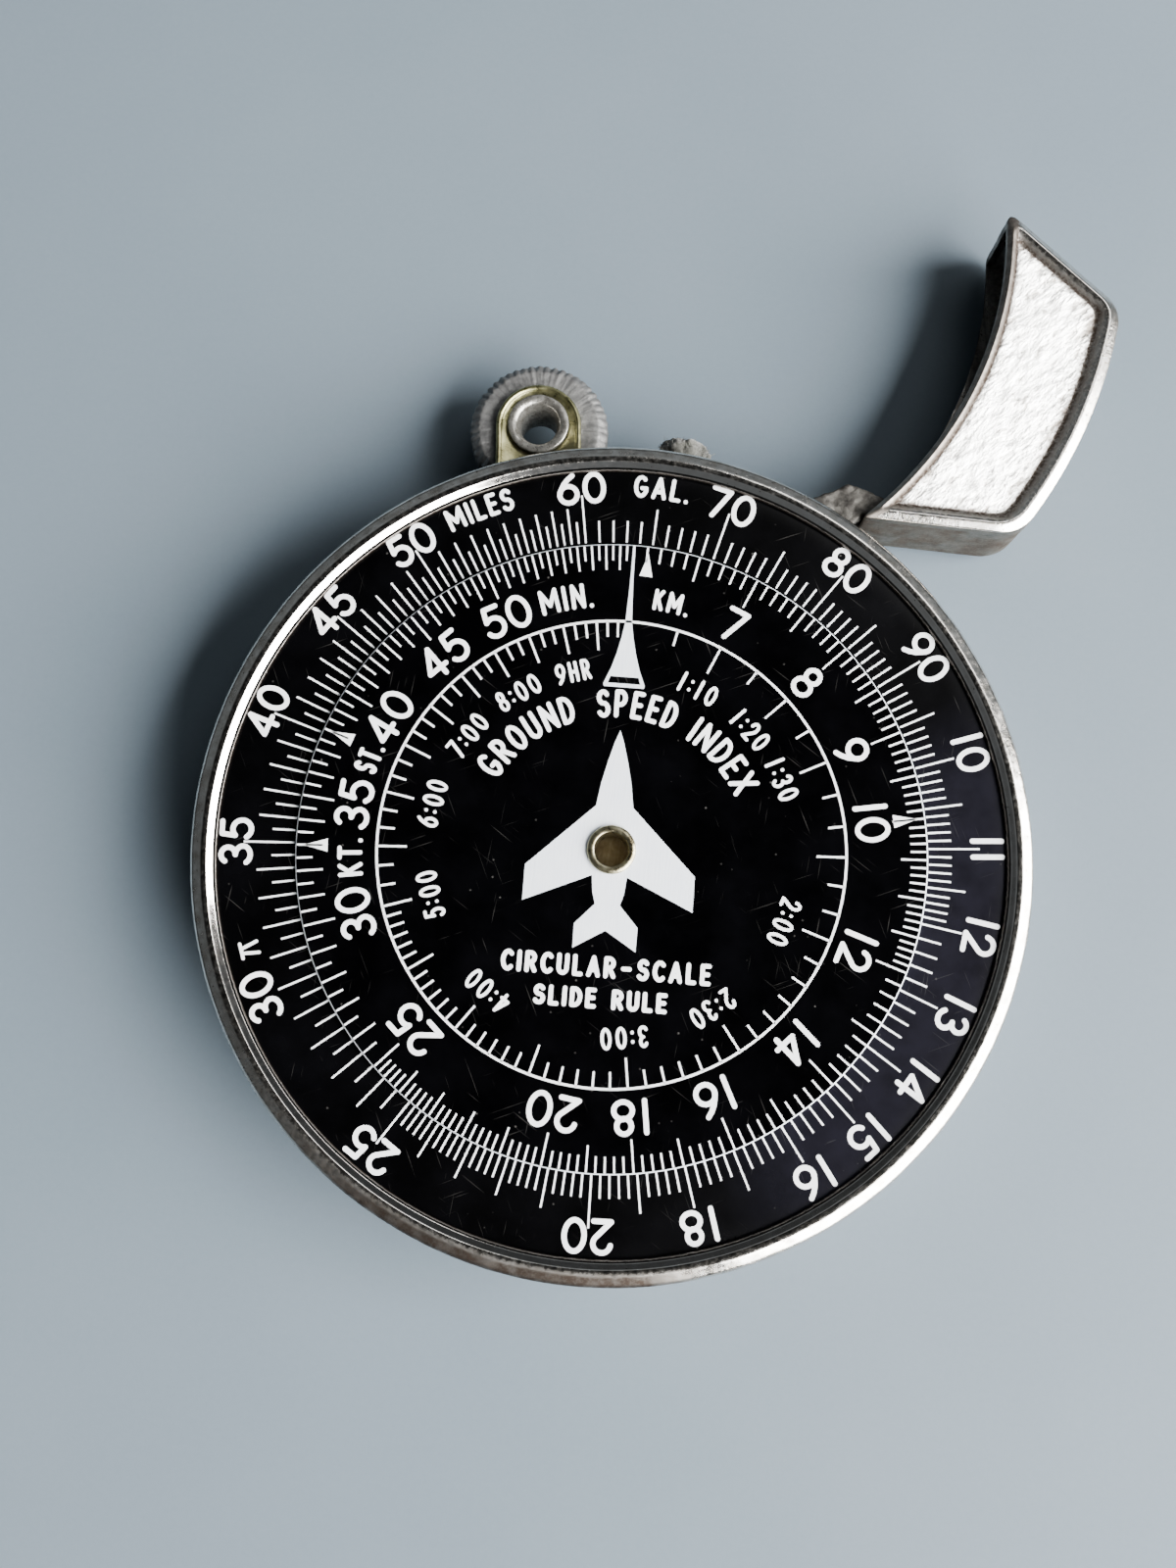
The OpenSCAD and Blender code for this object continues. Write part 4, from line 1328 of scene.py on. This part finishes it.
def cap_shell():
    """Die-cast snuffer cap: rounded border, sunk wrinkled panel, and a hollow open towards the case."""
    rim = [(0.40, CAP_LOW), (0.18, CAP_LOW + 0.04), (0.05, CAP_LOW + 0.14), (0.0, CAP_LOW + 0.3)]
    rim += [(0.0, CAP_LOW + 0.3 + (CAP_HIGH - CAP_LOW - 0.95) * k / 16) for k in range(1, 17)]
    border = [(0.002, 0.40), (0.012, 0.32), (0.04, 0.265), (0.1, 0.22), (0.2, 0.145), (0.3, 0.07),
              (0.37, 0.02), (0.43, 0.0), (0.5, 0.02), (0.6, 0.085), (0.74, 0.185), (0.87, 0.28),
              (0.95, 0.33), (1.0, 0.335)]
    rim += [(f, CAP_HIGH - down) for f, down in border]
    loops = []
    for f, z in rim:
        k = 1 - 0.35 * f
        corners = (0.4 * k, 1.3 * k, 1.2 * k, 1.5 * k)
        loops.append([swung((p.x, p.y, z)) for p in cap_loop(RIM_IN * f, RIM_OUT * f, RIM_END * f, corners)])
    points, faces = skin(loops)
    faces = faces[:-2]
    indices = []
    for face in faces:
        p = (points[face[0]] + points[face[2]]) / 2
        on_lip = unswung(p).length - CAP_IN < 0.72 and p.z > CAP_HIGH - 0.5
        indices.append(3 if on_lip else 2 if p.z < CAP_HIGH - 0.34 else 0)
    shapes = [(points, faces)]
    top_points, top_faces = fill(loops[-1], 0.2, panel_height)
    low_points, low_faces = fill(loops[0], 0.45, lambda x, y: CAP_LOW)
    edge = {(round(p.x, 4), round(p.y, 4)): p.z for p in loops[-1]}
    for p in top_points:
        p.z = edge.get((round(p.x, 4), round(p.y, 4)), p.z)
    shapes += [(top_points, top_faces), (low_points, low_faces)]
    indices += [1] * len(top_faces) + [2] * len(low_faces)
    points, faces = gather(shapes)
    obj = solid("cap_casting", points, faces, [POLISHED, HAMMERED, CAP_SIDE, CAP_LIP], indices)
    roughen(obj, 0.03, 1.4, lambda p: 1.0 if p.z < CAP_HIGH - 0.7 else 0.25, 3, 9)
    boolean(obj, cap_hollow_tool())
    # Dirt, with painted shade round the sunk panel and inside the hollow.
    paint(obj, cap_dirt)
    # Painted mask of wear and of shade in the creases, strongest at the panel's edge.
    paint(obj, panel_wear, "wear_and_crease_shade")
    ride(obj, "cap", "nickel", "cap_shell")


def cap_hollow_tool():
    """The cap's hollow, with the short return at its free end left standing."""
    wall, face = 0.5, 0.55
    outline = cap_loop(-2.2, wall, wall, (0.3, 0.3, 0.6, 0.8))
    low = [swung((p.x, p.y, CAP_LOW + face)) for p in outline]
    high = [swung((p.x, p.y, CAP_HIGH - face)) for p in outline]
    tool = loft("tool", [low, high], [])
    start, end = radians(113.6), radians(123)
    steps = 12
    ring = []
    for r, angles in ((CAP_IN + wall, range(steps + 1)), (CAP_IN - 3, range(steps, -1, -1))):
        ring += [polar(r, start + (end - start) * i / steps) for i in angles]
    block = loft("tool", [[swung((x, y, z)) for x, y in ring] for z in (CAP_LOW, CAP_HIGH)], [])
    return boolean(tool, block)


def cap_arm():
    """Cast arm that carries the cap on the hinge pin: a lumpy copy of the CAD's, with softened edges."""
    obj = linked("rough_arm", frame["nodes"]["cap_arm"].data.copy())
    dress(obj, ARM_STEEL)
    remesh = obj.modifiers.new("remesh", "REMESH")
    remesh.mode = "VOXEL"
    remesh.voxel_size = 0.11 * MM
    soften = obj.modifiers.new("soften", "SMOOTH")
    soften.iterations = 4
    take_modifiers(obj, 60)
    roughen(obj, 0.12, 0.9, None, 3, 12)
    ride(obj, "cap", "wheel_steel", "cap_arm")


# ---- screws and spring


def notched(r, z, a):
    """Fine notches round a screw head's edge."""
    depth = 0.05 if r > 1.35 and z > 0.02 else 0.0
    return r - depth * (0.5 - 0.5 * cos(28 * a)), z


def screw(name, node, place, head_r, shank_r, shank_from, body, extra=()):
    """Domed slotted screw along the place's +Z. The head's underside is at z 0."""
    thick = 0.5
    slot_depth = 0.27
    shoulder = extra[-1][1] if extra else shank_from
    outline = [(0, shank_from), *extra, (shank_r, shoulder, 0.1), (shank_r, 0), (head_r, 0, 0.05),
               (head_r, thick - 0.14, 0.12), (head_r * 0.55, thick - 0.02, 0.5), (0, thick)]
    outline = divided(rounded(outline, 0.03, 4), 0.4)
    obj = lathe(name, outline, [NICKEL], 168, notched, place)
    half = 0.3
    long = head_r + 0.5
    box = [(-long, -half), (long, -half), (long, half), (-long, half)]
    levels = (thick - slot_depth, thick + 1)
    tool = loft("tool", [[place @ p for p in at_height(box, z)] for z in levels], [])
    boolean(obj, tool)
    paint(obj, lambda p: 0.0)
    ride(obj, body, "nickel", node)


def screws():
    """The flint screw in the bottom of the case, and the filler screw beside it."""
    flint = middle_of("flint_screw")
    head = -24.35
    place = pointing((flint.x, head, MID_Z), (0, -1, 0))
    top = -19.3
    shank = top - head
    spigot = [(0.6, -shank - 10, 0.1), (0.6, -shank)]
    screw("slotted_flint_screw", "flint_screw", place, 1.48, 1.2, spigot[0][1], "flint_plug", spigot)
    gasket = middle_of("filler_gasket")
    out = Vector((gasket.x, gasket.y, 0)).normalized()
    seat = 24.45
    place = pointing(out * seat + Vector((0, 0, MID_Z)), out) @ Matrix.Rotation(pi / 2, 4, "Z")
    screw("slotted_filler_screw", "filler_screw", place, 1.88, 1.45, 20.2 - seat, "filler_plug")


def flint_spring():
    """The coil spring behind the flint, as a real helix with closed end coils."""
    low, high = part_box("flint_spring")
    wire = 0.15
    r = (high.x - low.x) / 2 / MM - wire
    bottom, top = low.y / MM + wire, high.y / MM - wire
    x = middle_of("flint_spring").x
    turns = 22
    path = []
    for i in range(turns * 20 + 1):
        t = i / (turns * 20)
        eased = t + 0.045 * sin(2 * pi * (t * 2 - 0.5)) / 2
        a = 2 * pi * turns * t
        y = bottom + (top - bottom) * held(eased)
        path.append(Vector((x + r * cos(a), y, MID_Z + r * sin(a))))
    points, faces = tube(path, wire, 8)
    obj = solid("coil_spring", points, faces, [SPRING_STEEL], sharp=60)
    ride(obj, "flint_carrier", "steel", "flint_spring")


def kept_nodes():
    """CAD nodes that stay as they are, with their own materials."""
    looks = {
        SPRING_STEEL: ("eyelet_washer", "hinge_pin", "cap_spring", "spring_screw"),
        DARK_BRASS: ("burner_deck", "flint_tube", "flint_follower", "wick_tube", "filler_bush"),
        FLINT_GREY: ("flint",),
        PAD_COTTON: ("wadding",),
        RUBBER: ("filler_gasket",),
    }
    for material, nodes in looks.items():
        for node in nodes:
            dress(frame["nodes"][node], material)


# ---- stage


def camera():
    """The photograph's view: almost straight down, from a little below the dial's middle."""
    data = bpy.data.cameras.new("camera")
    data.lens = 31.5
    data.sensor_width = 36
    data.shift_x = -0.0025
    data.shift_y = 0.0044
    data.clip_start = 0.001
    obj = linked("camera", data)
    tilt, roll = 0.1363, 0.0027
    place = Vector((-0.95, -7.69, 88.87))
    turn = Matrix.Rotation(roll, 4, "Y") @ Matrix.Rotation(tilt, 4, "X")
    obj.matrix_world = Matrix.Translation(place * MM) @ turn
    bpy.context.scene.camera = obj


def softbox(name, azimuth, elevation, distance, width, height, radiance, tint=(1, 1, 1)):
    """A rectangular light that faces the object, with its brightness given as radiance."""
    data = bpy.data.lights.new(name, "AREA")
    data.shape = "RECTANGLE"
    data.size = width
    data.size_y = height
    data.energy = radiance * pi * width * height
    data.color = tint
    obj = linked(name, data)
    e = radians(elevation)
    away = Vector((*polar(cos(e), radians(azimuth)), sin(e)))
    turn = away.to_track_quat("Z", "Y").to_matrix().to_4x4()
    obj.matrix_world = Matrix.Translation(away * distance) @ turn


def lights():
    """A window on the right, and a bright patch high on the upper right."""
    softbox("window", -26, 31.5, 0.45, 0.60, 0.38, 28.5, (1.0, 0.99, 0.97))
    softbox("high_window", 50, 52, 0.5, 0.24, 0.12, 4.0)


# How bright the room is at each height: pale low walls, dark furniture, a pale upper wall, a dark ceiling.
ROOM = [(0.0, 0.8), (0.20, 0.8), (0.28, 0.15), (0.42, 0.15), (0.50, 1.0), (0.62, 1.0), (0.86, 0.02)]
ROOM_TINT = (0.86, 0.94, 1.0)


def room():
    """The dim room round the lighter, brighter towards the upper right."""
    world = bpy.data.worlds.new("room")
    bpy.context.scene.world = world
    world.use_nodes = True
    s = Nodes(world.node_tree, "Generated")
    up = s.add("ValToRGB", {"Fac": s.add("SeparateXYZ", {0: s.place}, output=2)})
    stops = up.node.color_ramp.elements
    for n, (height, level) in enumerate(ROOM):
        stop = stops[n] if n < 2 else stops.new(height)
        stop.position = height
        stop.color = (level, level, level, 1.0)
    across = s.add("VectorMath", {0: s.place, 1: (0.55, 0.45, 0.0)}, output=1, operation="DOT_PRODUCT")
    side = s.span(across, -0.45, 0.45, 0.12, 0.28)
    background = world.node_tree.nodes["Background"].inputs
    s.give(background["Color"], ROOM_TINT)
    s.give(background["Strength"], s.times(up, side))


def floor():
    """The surface under the lighter."""
    half = 1500
    outline = [(-half, -half), (half, -half), (half, half), (-half, half)]
    obj = loft("floor", [at_height(outline, -5), at_height(outline, -0.01)], [FLOOR])


camera()
lights()
room()
floor()
kept_nodes()
case_body()
burner_surround()
rear_cover()
front_bezel()
scale_plate()
inner_disc()
dial_eyelet()
outer_print()
inner_print()
bright_figures()
flint_wheel()
cheek("front_cheek", "bracket_front", 1)
cheek("rear_cheek", "bracket_rear", -1)
wheel_rivet()
wick()
cap_shell()
cap_arm()
screws()
flint_spring()
